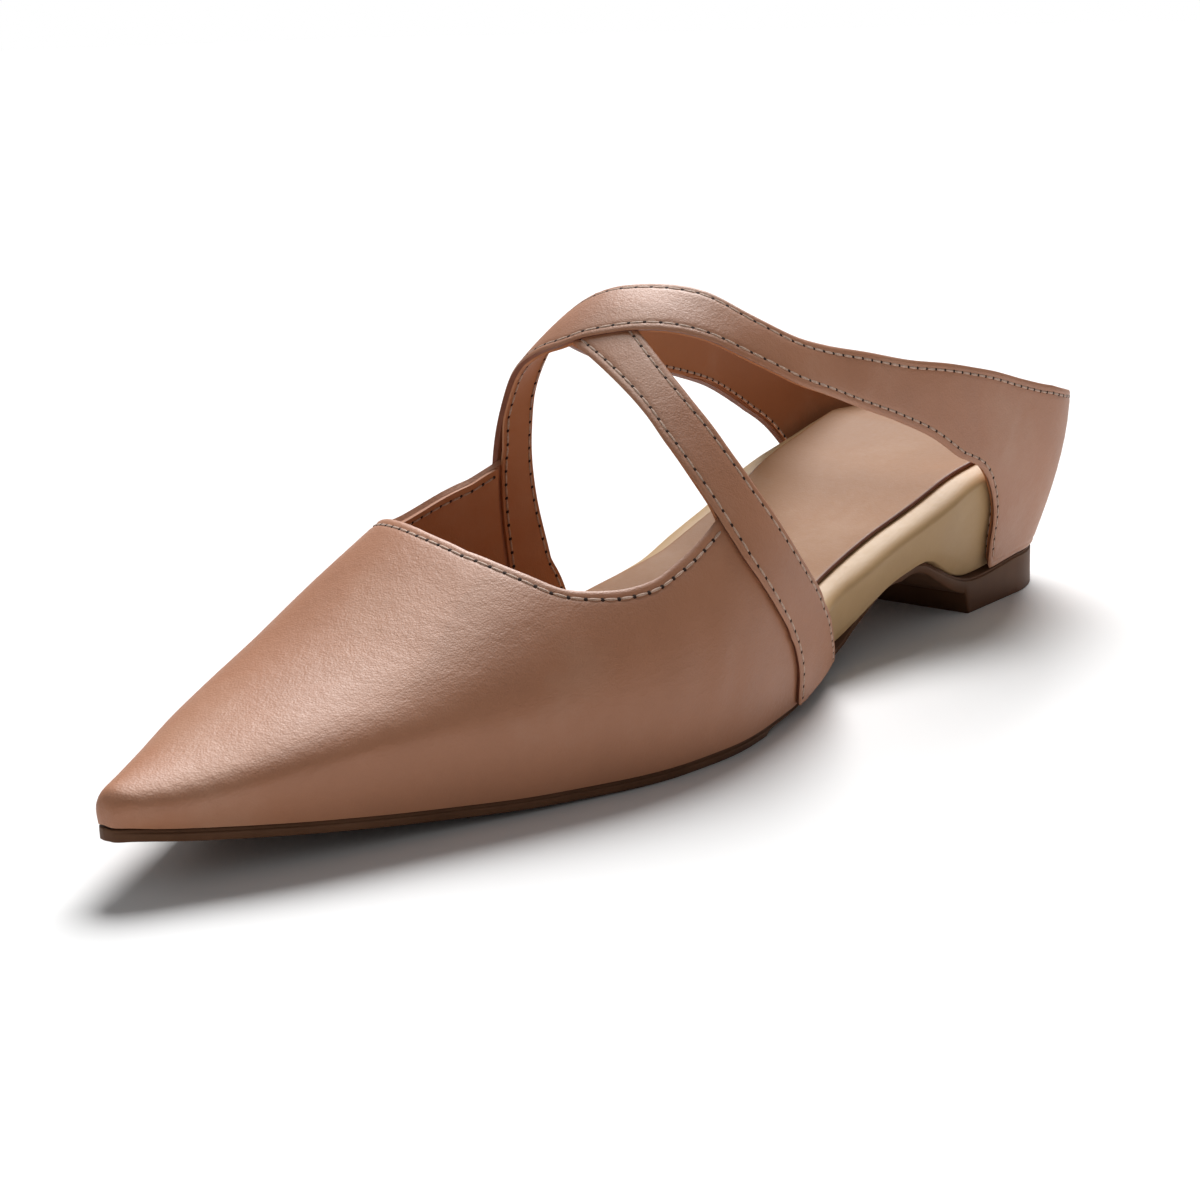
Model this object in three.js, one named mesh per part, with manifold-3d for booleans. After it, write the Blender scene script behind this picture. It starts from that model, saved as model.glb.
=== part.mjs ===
// Mule shoe for the left foot: pointed toe, crossed straps, low carved wedge.
// Millimetres. +X runs from the heel to the toe, +Y to the wearer's left, +Z up.
// The origin is at the middle of the heel's face on the floor.
// Four solids: the outsole with its heel, the wedge, the insole and the hollow upper,
// whose crossed straps are part of it.
import * as THREE from "three";
import { mergeVertices } from "three/addons/utils/BufferGeometryUtils.js";
import Module from "manifold-3d";

const wasm = await Module();
wasm.setup();

// Driving sizes
const LENGTH = 263;          // sole, from the back of the heel to the toe's tip
const BALL_WIDTH = 79;       // upper across the ball, outside
const INSTEP = 90;           // last over the sole, where the straps run back
const WEDGE_RISE = 24.2;     // how far the seat stands over the forepart's board
const BOARD = 4.2;           // forepart, from the outsole's top to the insole's top
const FLARE = 7.8;           // how far the counter leans out over the seat
const HEEL_LIFT = 6.9;       // seat of the upper over its ball line
const TOE_LIFT = 8.7;        // toe spring
const ARCH_RISE = 8.9;       // carved arch under the waist
const HEEL_ROUND = 25;       // radius of the heel's back in plan
const HEEL_LENGTH = 47.5;    // heel block, from its back to its breast
const BREAST_DRAFT = 0.3;    // how far the breast leans over its height
const FOREPART_SOLE = 2.1;   // outsole's thickness under the ball
const WALL = 1.7;            // leather and lining together
const STRAP_STEP = 1.2;      // how far a strap stands over what it lies on
const SOCK = 1.4;            // insole's thickness
const SOCK_EDGE = 0.4;       // its rounded edge
const SEAT_CUP = 1.5;        // how far the seat's middle lies under its rim
const CUP_FADE = 0.6;        // half width, in half balls, under which the cup fades
const SHOULDER = 2.6;        // height of the wedge's rounded top edge
const SHOULDER_WIDTH = 6.4;  // its width at the waist, out to the insole
const GROOVE = 0.6;          // recess along the top of the outsole's side
const GROOVE_HEIGHT = 0.8;   // from that recess's floor to the sole's top
const GROOVE_SLOPE = 0.1;    // slope of the recess's floor
const EDGE_BEVEL = 0.9;      // outsole's side runs in by this towards the floor
const CLEARANCE = 0.3;       // between pieces that touch
const SIDE_GAP = 0.45;       // between the wedge and the upper's curved wall
const TOE_PUFF = 9.3;        // stiffened leather that fills the toe's tip
const BOARD_STOP = 6;        // wedge's board ends this far behind the puff
const SOCK_STOP = 8;         // insole ends this far behind the puff
const CUT_REACH = 5;         // how far the throat's cutter stands off the wall
const TRIM_DEPTH = 20;       // depth of the block that trims the upper's underside
const TRIM_MARGIN = 30;      // how far that block runs past the sole

const BALL_HALF = BALL_WIDTH / 2;
const FAN_AT = HEEL_ROUND / LENGTH;      // the sections turn round the heel behind this
const BACK_AT = -0.08;                   // centre back
const FEATHER_Z = FOREPART_SOLE + CLEARANCE;

// Sections of the last from the seat to the toe.
// at: share of the length. lift: share of the heel's lift behind the ball, of the toe's
// lift in front. outer, inner: half widths at the sole, shares of half the ball's width.
// outerFlare, innerFlare: how much wider the last is at its widest, shares of the flare.
// wide: height of the widest place, ridge: height of the ridge, shares of the instep.
// lean: the ridge's place to the left, share of half the ball's width.
// round: exponent of the arch between the widest place and the ridge.
const SECTION_COLUMNS = ["at", "lift", "outer", "inner", "outerFlare", "innerFlare",
  "wide", "ridge", "lean", "round"];
const SECTIONS = [
  [0.095, 1.00, 0.622, 0.622, 1.00, 1.00, 0.400, 1.082, 0.000, 3.00],
  [0.160, 0.81, 0.622, 0.618, 0.97, 0.97, 0.389, 1.064, 0.000, 3.00],
  [0.228, 0.75, 0.618, 0.592, 0.90, 0.95, 0.356, 1.022, 0.000, 2.90],
  [0.304, 0.61, 0.592, 0.547, 0.82, 0.90, 0.311, 0.993, -0.013, 2.60],
  [0.380, 0.36, 0.633, 0.572, 0.64, 0.69, 0.267, 0.949, -0.038, 2.40],
  [0.449, 0.12, 0.775, 0.699, 0.41, 0.44, 0.211, 0.898, -0.063, 2.20],
  [0.506, 0.00, 0.880, 0.810, 0.31, 0.38, 0.180, 0.832, -0.086, 2.02],
  [0.589, 0.00, 0.967, 0.922, 0.26, 0.31, 0.156, 0.662, -0.114, 1.95],
  [0.640, 0.00, 0.937, 0.932, 0.26, 0.28, 0.148, 0.560, -0.123, 1.95],
  [0.741, 0.08, 0.734, 0.846, 0.28, 0.28, 0.139, 0.401, -0.139, 2.00],
  [0.817, 0.25, 0.527, 0.694, 0.28, 0.28, 0.133, 0.277, -0.147, 2.00],
  [0.894, 0.52, 0.319, 0.486, 0.26, 0.28, 0.100, 0.176, -0.144, 2.05],
  [0.951, 0.76, 0.137, 0.309, 0.20, 0.26, 0.055, 0.108, -0.132, 2.05],
  [0.980, 0.90, 0.032, 0.205, 0.16, 0.18, 0.036, 0.073, -0.124, 2.05],
  [0.993, 0.97, -0.035, 0.160, 0.08, 0.08, 0.026, 0.052, -0.121, 2.05],
  [1.000, 1.00, -0.092, 0.148, 0.02, 0.02, 0.016, 0.026, -0.120, 2.05],
];
const VAMP_START = 0.43;     // the vamp's shell begins here, under the straps
const LOW_GIRTH = 0.3;       // share of each half girth that lies under the widest place
const BACK_REACH = 0.85;     // share of the flare that the counter leans back
const BACK_SWELL = 1;        // millimetres that its back is fuller than the heel's round
const BALL_AT = 0.55;        // ball line: the heel's lift ends behind it, toe spring begins
const GIRTH_END = 1.06;      // a little under the feather, where the trimming block cuts
const SHOULDER_MOST = 0.6;   // share of the wedge's side that its round top may take
const WAIST_SHARE = 0.5;     // height of the sole's widest line, share of its thickness

// Rim of the insole over the sole's top: at, share of the wedge's rise.
const RIM_COLUMNS = ["at", "rise"];
const RIM = [
  [-0.04, 1.00], [0.080, 1.00], [0.190, 0.897], [0.285, 0.657], [0.380, 0.463],
  [0.456, 0.298], [0.494, 0.194], [0.532, 0.120], [0.570, 0.068], [0.608, 0.036],
  [0.684, 0.012], [0.780, 0.010], [0.850, 0.000], [1.000, 0.000],
];

// Carved arch: at, share of the arch's rise, thickness in forepart soles.
const ARCH_COLUMNS = ["at", "rise", "thick"];
const ARCH = [
  [0.150, 0.00, 1.75], [0.171, 0.02, 1.72], [0.186, 0.10, 1.66], [0.205, 0.30, 1.52],
  [0.227, 0.62, 1.33], [0.251, 0.955, 1.18], [0.262, 1.00, 1.14], [0.281, 0.92, 1.12],
  [0.303, 0.79, 1.10], [0.327, 0.56, 1.06], [0.354, 0.31, 1.03], [0.376, 0.10, 1.00],
  [0.402, 0.00, 1.00], [0.450, 0.00, 1.00],
];

// Where the leather of the waist swells to the sole's edge: at, share of the tuck kept,
// share of the shoulder's width.
const TUCK_COLUMNS = ["at", "kept", "round"];
const TUCK = [
  [0.080, 1.00, 0.50], [0.160, 1.00, 0.75], [0.200, 1.00, 0.95], [0.245, 0.55, 1.00],
  [0.340, 0.55, 1.00], [0.400, 1.00, 0.90], [0.450, 1.00, 0.65], [0.510, 1.00, 0.45],
  [0.600, 1.00, 0.40],
];

// Straps: each row joins a point of the lower or front edge to one of the upper or rear
// edge. lowAt, topAt: shares of the length. lowGirth, topGirth: 1 at the outer feather,
// 0 on the ridge, -1 at the inner feather. lift: in strap steps over the last.
const STRAP_COLUMNS = ["lowAt", "lowGirth", "topAt", "topGirth", "lift"];
const OVER_STRAP = [
  [0.506, -1.060, 0.449, -1.060, 1.0],
  [0.506, -0.840, 0.454, -0.815, 1.0],
  [0.508, -0.700, 0.464, -0.700, 1.0],
  [0.515, -0.600, 0.479, -0.583, 1.0],
  [0.523, -0.506, 0.489, -0.495, 1.0],
  [0.528, -0.432, 0.496, -0.417, 1.0],
  [0.533, -0.352, 0.501, -0.339, 1.05],
  [0.543, -0.251, 0.504, -0.239, 1.15],
  [0.552, -0.155, 0.506, -0.155, 1.4],
  [0.554, -0.065, 0.503, -0.070, 1.7],
  [0.545, 0.022, 0.498, 0.000, 1.9],
  [0.525, 0.135, 0.489, 0.069, 1.9],
  [0.506, 0.224, 0.477, 0.142, 1.8],
  [0.485, 0.305, 0.462, 0.236, 1.3],
  [0.452, 0.390, 0.435, 0.323, 0.9],
  [0.414, 0.455, 0.399, 0.388, 0.6],
  [0.371, 0.521, 0.354, 0.446, 0.4],
  [0.323, 0.584, 0.304, 0.502, 0.2],
  [0.281, 0.640, 0.253, 0.546, 0.1],
  [0.241, 0.705, 0.203, 0.588, 0.0],
  [0.206, 0.760, 0.165, 0.620, 0.0],
  [0.184, 0.820, 0.135, 0.645, 0.0],
  [0.168, 0.885, 0.110, 0.664, 0.0],
  [0.158, 0.950, 0.087, 0.680, 0.0],
  [0.156, 1.060, 0.067, 0.692, 0.0],
  [0.125, 1.060, 0.046, 0.703, 0.0],
  [0.076, 1.060, 0.015, 0.714, 0.0],
  [0.030, 1.060, -0.015, 0.722, 0.0],
  [-0.023, 1.060, -0.048, 0.728, 0.0],
  [BACK_AT, 1.060, BACK_AT, 0.730, 0.0],
];
const UNDER_STRAP = [
  [0.495, 1.060, 0.405, 1.060, 1.0],
  [0.500, 0.955, 0.418, 0.955, 1.0],
  [0.506, 0.870, 0.440, 0.860, 1.0],
  [0.517, 0.775, 0.457, 0.765, 1.0],
  [0.530, 0.702, 0.473, 0.690, 1.0],
  [0.544, 0.638, 0.494, 0.633, 1.0],
  [0.558, 0.578, 0.512, 0.578, 1.0],
  [0.569, 0.514, 0.528, 0.512, 1.0],
  [0.576, 0.444, 0.538, 0.442, 1.0],
  [0.579, 0.364, 0.544, 0.362, 1.0],
  [0.578, 0.283, 0.545, 0.290, 1.0],
  [0.574, 0.205, 0.543, 0.227, 1.0],
  [0.566, 0.115, 0.538, 0.168, 1.0],
  [0.555, 0.022, 0.530, 0.105, 1.0],
  [0.542, -0.065, 0.519, 0.030, 1.0],
  [0.525, -0.155, 0.504, -0.055, 0.9],
  [0.504, -0.239, 0.485, -0.138, 0.8],
  [0.477, -0.318, 0.460, -0.217, 0.6],
  [0.443, -0.388, 0.428, -0.293, 0.5],
  [0.403, -0.450, 0.388, -0.360, 0.4],
  [0.359, -0.505, 0.344, -0.417, 0.3],
  [0.314, -0.556, 0.298, -0.467, 0.2],
  [0.268, -0.608, 0.250, -0.508, 0.1],
  [0.229, -0.660, 0.203, -0.545, 0.0],
  [0.194, -0.712, 0.162, -0.575, 0.0],
  [0.165, -0.765, 0.127, -0.605, 0.0],
  [0.144, -0.820, 0.098, -0.632, 0.0],
  [0.129, -0.880, 0.074, -0.655, 0.0],
  [0.121, -0.945, 0.053, -0.676, 0.0],
  [0.120, -1.060, 0.034, -0.694, 0.0],
  [0.076, -1.060, 0.012, -0.709, 0.0],
  [0.030, -1.060, -0.015, -0.719, 0.0],
  [-0.023, -1.060, -0.048, -0.727, 0.0],
  [BACK_AT, -1.060, BACK_AT, -0.730, 0.0],
];

// Opening behind and inside the vamp: at, inner and outer edge as girth. Its rear part
// ends the vamp under the straps, its front part is the throat.
const THROAT_COLUMNS = ["at", "innerGirth", "outerGirth"];
const THROAT = [
  [0.300, -1.150, 1.150], [0.450, -1.150, 1.150], [0.460, -1.150, 0.960],
  [0.471, -1.130, 0.870], [0.477, -1.000, 0.830], [0.480, -0.830, 0.812],
  [0.486, -0.700, 0.775], [0.497, -0.598, 0.715], [0.506, -0.504, 0.680],
  [0.519, -0.488, 0.635], [0.536, -0.487, 0.577], [0.549, -0.485, 0.513],
  [0.557, -0.481, 0.446], [0.566, -0.474, 0.438], [0.580, -0.464, 0.440],
  [0.612, -0.441, 0.446], [0.639, -0.410, 0.447], [0.663, -0.352, 0.432],
  [0.683, -0.262, 0.402], [0.702, -0.128, 0.350], [0.711, -0.030, 0.275],
  [0.716, 0.050, 0.205], [0.7185, 0.110, 0.145],
];

// A smooth curve through a table's column that never overshoots its rows.
function smoothCurve(xs, ys) {
  const last = xs.length - 1;
  const slope = [];
  for (let i = 0; i < last; i++) slope.push((ys[i + 1] - ys[i]) / (xs[i + 1] - xs[i]));
  const tangent = ys.map((_, i) => {
    if (i === 0) return slope[0];
    if (i === last) return slope[last - 1];
    if (slope[i - 1] * slope[i] <= 0) return 0;
    const before = xs[i] - xs[i - 1];
    const after = xs[i + 1] - xs[i];
    const w1 = 2 * after + before;
    const w2 = after + 2 * before;
    return (w1 + w2) / (w1 / slope[i - 1] + w2 / slope[i]);
  });
  return (x) => {
    const inside = Math.min(Math.max(x, xs[0]), xs[last]);
    let i = 0;
    while (i < last - 1 && inside > xs[i + 1]) i++;
    const step = xs[i + 1] - xs[i];
    const t = (inside - xs[i]) / step;
    const a = (1 + 2 * t) * (1 - t) * (1 - t);
    const b = t * (1 - t) * (1 - t) * step;
    const c = t * t * (3 - 2 * t);
    const d = t * t * (t - 1) * step;
    return a * ys[i] + b * tangent[i] + c * ys[i + 1] + d * tangent[i + 1];
  };
}

// One curve for each column, over the first column or over the row's number.
function curves(columns, rows, overRows = false) {
  const xs = rows.map((row, i) => (overRows ? i : row[0]));
  const out = {};
  columns.forEach((name, c) => {
    out[name] = smoothCurve(xs, rows.map((row) => row[c]));
  });
  return out;
}

const section = curves(SECTION_COLUMNS, SECTIONS);
const rim = curves(RIM_COLUMNS, RIM);
const arch = curves(ARCH_COLUMNS, ARCH);
const tuck = curves(TUCK_COLUMNS, TUCK);
const throat = curves(THROAT_COLUMNS, THROAT);

// Height of the feather, where the upper meets the sole.
function featherZ(at) {
  return FEATHER_Z + section.lift(at) * (at > BALL_AT ? TOE_LIFT : HEEL_LIFT);
}

// A quarter ellipse turn of the section behind the fan's axis.
function reach(angle, side, back) {
  if (angle === 0) return side;
  return 1 / Math.hypot(Math.cos(angle) / side, Math.sin(angle) / back);
}

// A point of the last. at: share of the length, and on round the heel to BACK_AT.
// girth: 1 at the outer feather, 0 on the ridge, -1 at the inner feather.
function lastPoint(at, girth) {
  const side = girth >= 0 ? 1 : -1;
  const here = Math.max(at, FAN_AT);
  const lean = section.lean(here) * BALL_HALF;
  const half = side > 0 ? section.outer(here) : section.inner(here);
  const flare = FLARE * (side > 0 ? section.outerFlare(here) : section.innerFlare(here));
  const low = half * BALL_HALF - side * lean;
  const angle = Math.max(0, (FAN_AT - at) / (FAN_AT - BACK_AT)) * Math.PI / 2;
  const lowReach = reach(angle, low, HEEL_ROUND);
  const wideReach = reach(angle, low + flare, HEEL_ROUND + BACK_REACH * flare + BACK_SWELL);
  const foot = featherZ(here);
  const wide = section.wide(here) * INSTEP;
  const ridge = Math.max(section.ridge(here) * INSTEP - wide, 0);
  const rise = 1 - Math.abs(girth);
  let out;
  let z;
  if (rise < LOW_GIRTH) {
    const share = rise / LOW_GIRTH;
    out = lowReach + (wideReach - lowReach) * Math.sin(share * Math.PI / 2);
    z = foot + wide * share;
  } else {
    const turn = Math.min((rise - LOW_GIRTH) / (1 - LOW_GIRTH), 1) * Math.PI / 2;
    const up = Math.sin(turn);
    out = wideReach * Math.sqrt(Math.max(0, 1 - Math.pow(up, section.round(here))));
    z = foot + wide + ridge * up;
  }
  const x = angle > 0 ? FAN_AT * LENGTH - out * Math.sin(angle) : at * LENGTH;
  return new THREE.Vector3(x, lean + side * out * Math.cos(angle), z);
}

// The last's outward direction, from its neighbours.
function lastNormal(at, girth) {
  const stepAt = 0.002;
  const stepGirth = 0.008;
  const along = lastPoint(at + stepAt, girth).sub(lastPoint(at - stepAt, girth));
  const round = lastPoint(at, girth + stepGirth).sub(lastPoint(at, girth - stepGirth));
  return along.cross(round).normalize();
}

// A point off the last by a distance, outward.
function offLast(at, girth, off) {
  return lastPoint(at, girth).addScaledVector(lastNormal(at, girth), off);
}

// A closed solid from two faces of the same grid size, joined round their edges.
function thickSheet(outerRows, innerRows) {
  const rows = outerRows.length;
  const cols = outerRows[0].length;
  const points = [];
  for (const row of outerRows) points.push(...row);
  for (const row of innerRows) points.push(...row);
  const top = (i, j) => i * cols + j;
  const under = (i, j) => rows * cols + i * cols + j;
  const faces = [];
  const quad = (a, b, c, d) => faces.push([a, b, c], [a, c, d]);
  for (let i = 0; i < rows - 1; i++) {
    for (let j = 0; j < cols - 1; j++) {
      quad(top(i, j), top(i + 1, j), top(i + 1, j + 1), top(i, j + 1));
      quad(under(i, j), under(i, j + 1), under(i + 1, j + 1), under(i + 1, j));
    }
    quad(top(i, 0), under(i, 0), under(i + 1, 0), top(i + 1, 0));
    quad(top(i, cols - 1), top(i + 1, cols - 1), under(i + 1, cols - 1), under(i, cols - 1));
  }
  for (let j = 0; j < cols - 1; j++) {
    quad(top(0, j), top(0, j + 1), under(0, j + 1), under(0, j));
    const end = rows - 1;
    quad(top(end, j), under(end, j), under(end, j + 1), top(end, j + 1));
  }
  return closedGeometry(points, faces);
}

// A closed solid from cross sections. Each has an outer and an inner half, both from the
// middle of its underside to the middle of its top.
function crossLoft(stations) {
  const half = stations[0].outer.length;
  const points = [];
  for (const station of stations) points.push(...station.outer, ...station.inner);
  const outer = (i, k) => i * half * 2 + k;
  const inner = (i, k) => i * half * 2 + half + k;
  const faces = [];
  const quad = (a, b, c, d) => faces.push([a, b, c], [a, c, d]);
  const end = stations.length - 1;
  for (let k = 0; k < half - 1; k++) {
    for (let i = 0; i < end; i++) {
      quad(outer(i, k), outer(i + 1, k), outer(i + 1, k + 1), outer(i, k + 1));
      quad(inner(i, k), inner(i, k + 1), inner(i + 1, k + 1), inner(i + 1, k));
    }
    quad(outer(0, k), outer(0, k + 1), inner(0, k + 1), inner(0, k));
    quad(outer(end, k), inner(end, k), inner(end, k + 1), outer(end, k + 1));
  }
  return closedGeometry(points, faces);
}

// Merges shared points, drops faces that close up to a line, and turns the solid's
// faces outward.
function closedGeometry(points, faces) {
  const loose = new THREE.BufferGeometry();
  const values = new Float32Array(points.length * 3);
  points.forEach((p, i) => {
    const flat = Math.abs(p.y) < 1e-5 ? 0 : p.y;
    values.set([p.x, flat, p.z], i * 3);
  });
  loose.setAttribute("position", new THREE.BufferAttribute(values, 3));
  loose.setIndex(faces.flat());
  const merged = mergeVertices(loose, 1e-4);
  const index = merged.index.array;
  const kept = [];
  for (let i = 0; i < index.length; i += 3) {
    const [a, b, c] = [index[i], index[i + 1], index[i + 2]];
    if (a !== b && b !== c && c !== a) kept.push(a, b, c);
  }
  merged.setIndex(kept);
  if (signedVolume(merged) < 0) {
    for (let i = 0; i < kept.length; i += 3) [kept[i], kept[i + 1]] = [kept[i + 1], kept[i]];
    merged.setIndex(kept);
  }
  return merged;
}

function signedVolume(geometry) {
  const position = geometry.getAttribute("position");
  const index = geometry.index.array;
  const corner = [new THREE.Vector3(), new THREE.Vector3(), new THREE.Vector3()];
  let volume = 0;
  for (let i = 0; i < index.length; i += 3) {
    corner.forEach((v, k) => v.fromBufferAttribute(position, index[i + k]));
    volume += corner[0].dot(corner[1].cross(corner[2])) / 6;
  }
  return volume;
}

function solid(geometry) {
  return new wasm.Manifold(new wasm.Mesh({
    numProp: 3,
    vertProperties: Float32Array.from(geometry.getAttribute("position").array),
    triVerts: Uint32Array.from(geometry.index.array),
  }));
}

function geometryOf(manifold) {
  const mesh = manifold.getMesh();
  const geometry = new THREE.BufferGeometry();
  geometry.setAttribute("position", new THREE.BufferAttribute(mesh.vertProperties, 3));
  geometry.setIndex(new THREE.BufferAttribute(mesh.triVerts, 1));
  return geometry;
}

// Numbers from first to last, count of them, crowded towards the last by power.
function spread(first, last, count, power = 1) {
  const out = [];
  for (let i = 0; i < count; i++) {
    const share = i / (count - 1);
    out.push(first + (last - first) * (1 - Math.pow(1 - share, power)));
  }
  return out;
}

// The heel's turn, from centre back to the fan's axis, then stations on to the toe.
const heelTurn = (count) => spread(BACK_AT, FAN_AT, count).slice(0, -1);

// Vamp: a hollow shell on the last, open behind, at the throat and underneath.
function vampSolid() {
  const half = 12;
  const middle = half - 1;
  const girths = spread(-GIRTH_END, 0, half).concat(spread(0, GIRTH_END, half).slice(1));
  const ring = (at, off) => {
    const row = girths.map((girth) => offLast(at, girth, off));
    const base = row[0].clone().lerp(row[girths.length - 1], 0.5);
    return {
      outer: [base, ...row.slice(middle).reverse()],
      inner: [base, ...row.slice(0, middle + 1)],
    };
  };
  const outside = solid(crossLoft(spread(VAMP_START, 1, 25, 1.35).map((at) => ring(at, 0))));
  const innerEnd = 1 - TOE_PUFF / LENGTH;
  const inside = solid(crossLoft(spread(VAMP_START - 0.01, innerEnd, 20, 1.2)
    .map((at) => ring(at, -WALL))));
  return outside.subtract(inside).subtract(throatCutter());
}

function throatCutter() {
  const stations = [];
  for (let i = 0; i < THROAT.length - 1; i++) {
    const [from, to] = [THROAT[i][0], THROAT[i + 1][0]];
    const parts = Math.max(1, Math.round((to - from) / 0.012));
    for (let k = 0; k < parts; k++) stations.push(from + (to - from) * k / parts);
  }
  stations.push(THROAT[THROAT.length - 1][0]);
  const face = (off) => stations.map((at) => spread(throat.innerGirth(at),
    throat.outerGirth(at), 13).map((girth) => offLast(at, girth, off)));
  return solid(thickSheet(face(CUT_REACH), face(-WALL - CUT_REACH)));
}

// A strap and its half of the counter: a thick ribbon laid over the last.
function strapSolid(rows) {
  const strap = curves(STRAP_COLUMNS, rows, true);
  const across = 8;
  const steps = (rows.length - 1) * 2 + 1;
  const face = (inward) => spread(0, rows.length - 1, steps).map((row) =>
    spread(0, 1, across).map((share) => {
      const at = strap.lowAt(row) + (strap.topAt(row) - strap.lowAt(row)) * share;
      const girth = strap.lowGirth(row) + (strap.topGirth(row) - strap.lowGirth(row)) * share;
      return offLast(at, girth, STRAP_STEP * strap.lift(row) - inward);
    }));
  return solid(thickSheet(face(0), face(WALL)));
}

// Everything under the feather's line, to trim the upper's underside.
function underFeather() {
  const outline = new THREE.Shape();
  const front = LENGTH + TRIM_MARGIN;
  outline.moveTo(-TRIM_MARGIN, -TRIM_DEPTH);
  outline.lineTo(front, -TRIM_DEPTH);
  outline.lineTo(front, featherZ(1));
  for (const at of spread(1, FAN_AT, 60)) outline.lineTo(at * LENGTH, featherZ(at));
  outline.lineTo(-TRIM_MARGIN, featherZ(FAN_AT));
  const slab = new THREE.ExtrudeGeometry(outline, { depth: 3 * BALL_WIDTH, bevelEnabled: false });
  slab.rotateX(Math.PI / 2);
  slab.translate(0, 1.5 * BALL_WIDTH, 0);
  slab.deleteAttribute("normal");
  slab.deleteAttribute("uv");
  return solid(mergeVertices(slab, 1e-4));
}

function upperGeometry() {
  const body = vampSolid().add(strapSolid(OVER_STRAP)).add(strapSolid(UNDER_STRAP));
  return geometryOf(body.subtract(underFeather()));
}

// Stations for the pieces of the bottom, closer where their outline turns.
const bottomStations = (front) => [
  ...heelTurn(10),
  ...spread(FAN_AT, 0.40, 20).slice(0, -1),
  ...spread(0.40, 0.62, 10).slice(0, -1),
  ...spread(0.62, front, 15, 1.3),
];

// A point beside the last's side at a level, moved level so that it ends up the given
// distance off the last.
function sidePoint(at, side, off, z) {
  const here = Math.max(at, FAN_AT);
  const rise = (z - featherZ(here)) / (section.wide(here) * INSTEP);
  const girth = side * (1 - LOW_GIRTH * Math.min(rise, 1));
  const level = lastNormal(at, girth).setZ(0);
  return lastPoint(at, girth).addScaledVector(level, off / level.lengthSq()).setZ(z);
}

function midPoint(at, off, z) {
  return sidePoint(at, 1, off, z).lerp(sidePoint(at, -1, off, z), 0.5);
}

// From a rim point to the midline, sunk by the seat's cup, which fades out where the
// outline closes round the heel and at the toe.
function cupped(rimPoint, middle, cup) {
  const width = Math.abs(rimPoint.y - middle.y) / (CUP_FADE * BALL_HALF);
  const depth = cup * (1 - Math.cos(Math.min(1, width) * Math.PI)) / 2;
  return [0.35, 0.7, 1].map((share) => {
    const point = rimPoint.clone().lerp(middle, share);
    point.z -= depth * Math.sin(share * Math.PI / 2);
    return point;
  });
}

const soleTop = (at) => featherZ(Math.max(at, FAN_AT)) - CLEARANCE + ARCH_RISE * arch.rise(at);
const rimTop = (at) => featherZ(Math.max(at, FAN_AT)) - CLEARANCE + BOARD
  + WEDGE_RISE * rim.rise(at);

// Outsole with its heel: one moulding with a groove along the top of its side.
function outsoleGeometry() {
  const breast = HEEL_LENGTH / LENGTH;
  const lean = BREAST_DRAFT / LENGTH / 2;
  const stations = bottomStations(1).filter((at) => Math.abs(at - breast) > 6 * lean);
  stations.push(breast - lean, breast + lean);
  stations.sort((a, b) => a - b);
  const feather = (at, side, off, z) => {
    const point = offLast(at, side, off);
    point.z = z;
    return point;
  };
  return crossLoft(stations.map((at) => {
    const top = soleTop(at);
    const bottom = at < breast ? 0 : Math.max(0, top - FOREPART_SOLE * arch.thick(at));
    const bevel = at < breast ? -GROOVE / 2 : EDGE_BEVEL;
    const waist = bottom + (top - bottom) * WAIST_SHARE;
    const half = (side) => {
      const edge = (inward, z) => feather(at, side, -inward, z);
      const middle = (z) => feather(at, 1, -GROOVE, z).lerp(feather(at, -1, -GROOVE, z), 0.5);
      const low = edge(GROOVE + bevel, bottom);
      const high = edge(2 * GROOVE, top);
      return [
        middle(bottom),
        low,
        edge(GROOVE, Math.min(waist, top - GROOVE_HEIGHT)),
        edge(GROOVE, top - GROOVE_HEIGHT),
        edge(2 * GROOVE, top - GROOVE_HEIGHT + GROOVE_SLOPE),
        high,
        middle(top),
      ];
    };
    return { outer: half(1), inner: half(-1) };
  }));
}

// Wedge with the insole board: its side follows the upper's inside.
function wedgeGeometry() {
  const front = 1 - (TOE_PUFF + BOARD_STOP) / LENGTH;
  return crossLoft(bottomStations(front).map((at) => {
    const under = soleTop(at) + CLEARANCE;
    const top = rimTop(at) - SOCK - CLEARANCE;
    const cup = SEAT_CUP * rim.rise(at);
    const pull = (WALL + SIDE_GAP) * tuck.kept(at);
    const shoulder = Math.min(SHOULDER, (top - under) * SHOULDER_MOST);
    const width = SHOULDER_WIDTH * tuck.round(at);
    const half = (side) => {
      const edge = (inward, z) => sidePoint(at, side, -pull - inward, z);
      const points = [midPoint(at, -pull, under), edge(0, under)];
      for (const share of [0.33, 0.67]) {
        points.push(edge(0, under + (top - shoulder - under) * share));
      }
      for (const turn of [0, 1, 2, 3]) {
        const angle = turn * Math.PI / 6;
        points.push(edge(width * (1 - Math.cos(angle)),
          top - shoulder * (1 - Math.sin(angle))));
      }
      const rimPoint = points[points.length - 1];
      const middle = midPoint(at, -pull - width, top);
      return [...points, ...cupped(rimPoint, middle, cup)];
    };
    return { outer: half(1), inner: half(-1) };
  }));
}

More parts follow.
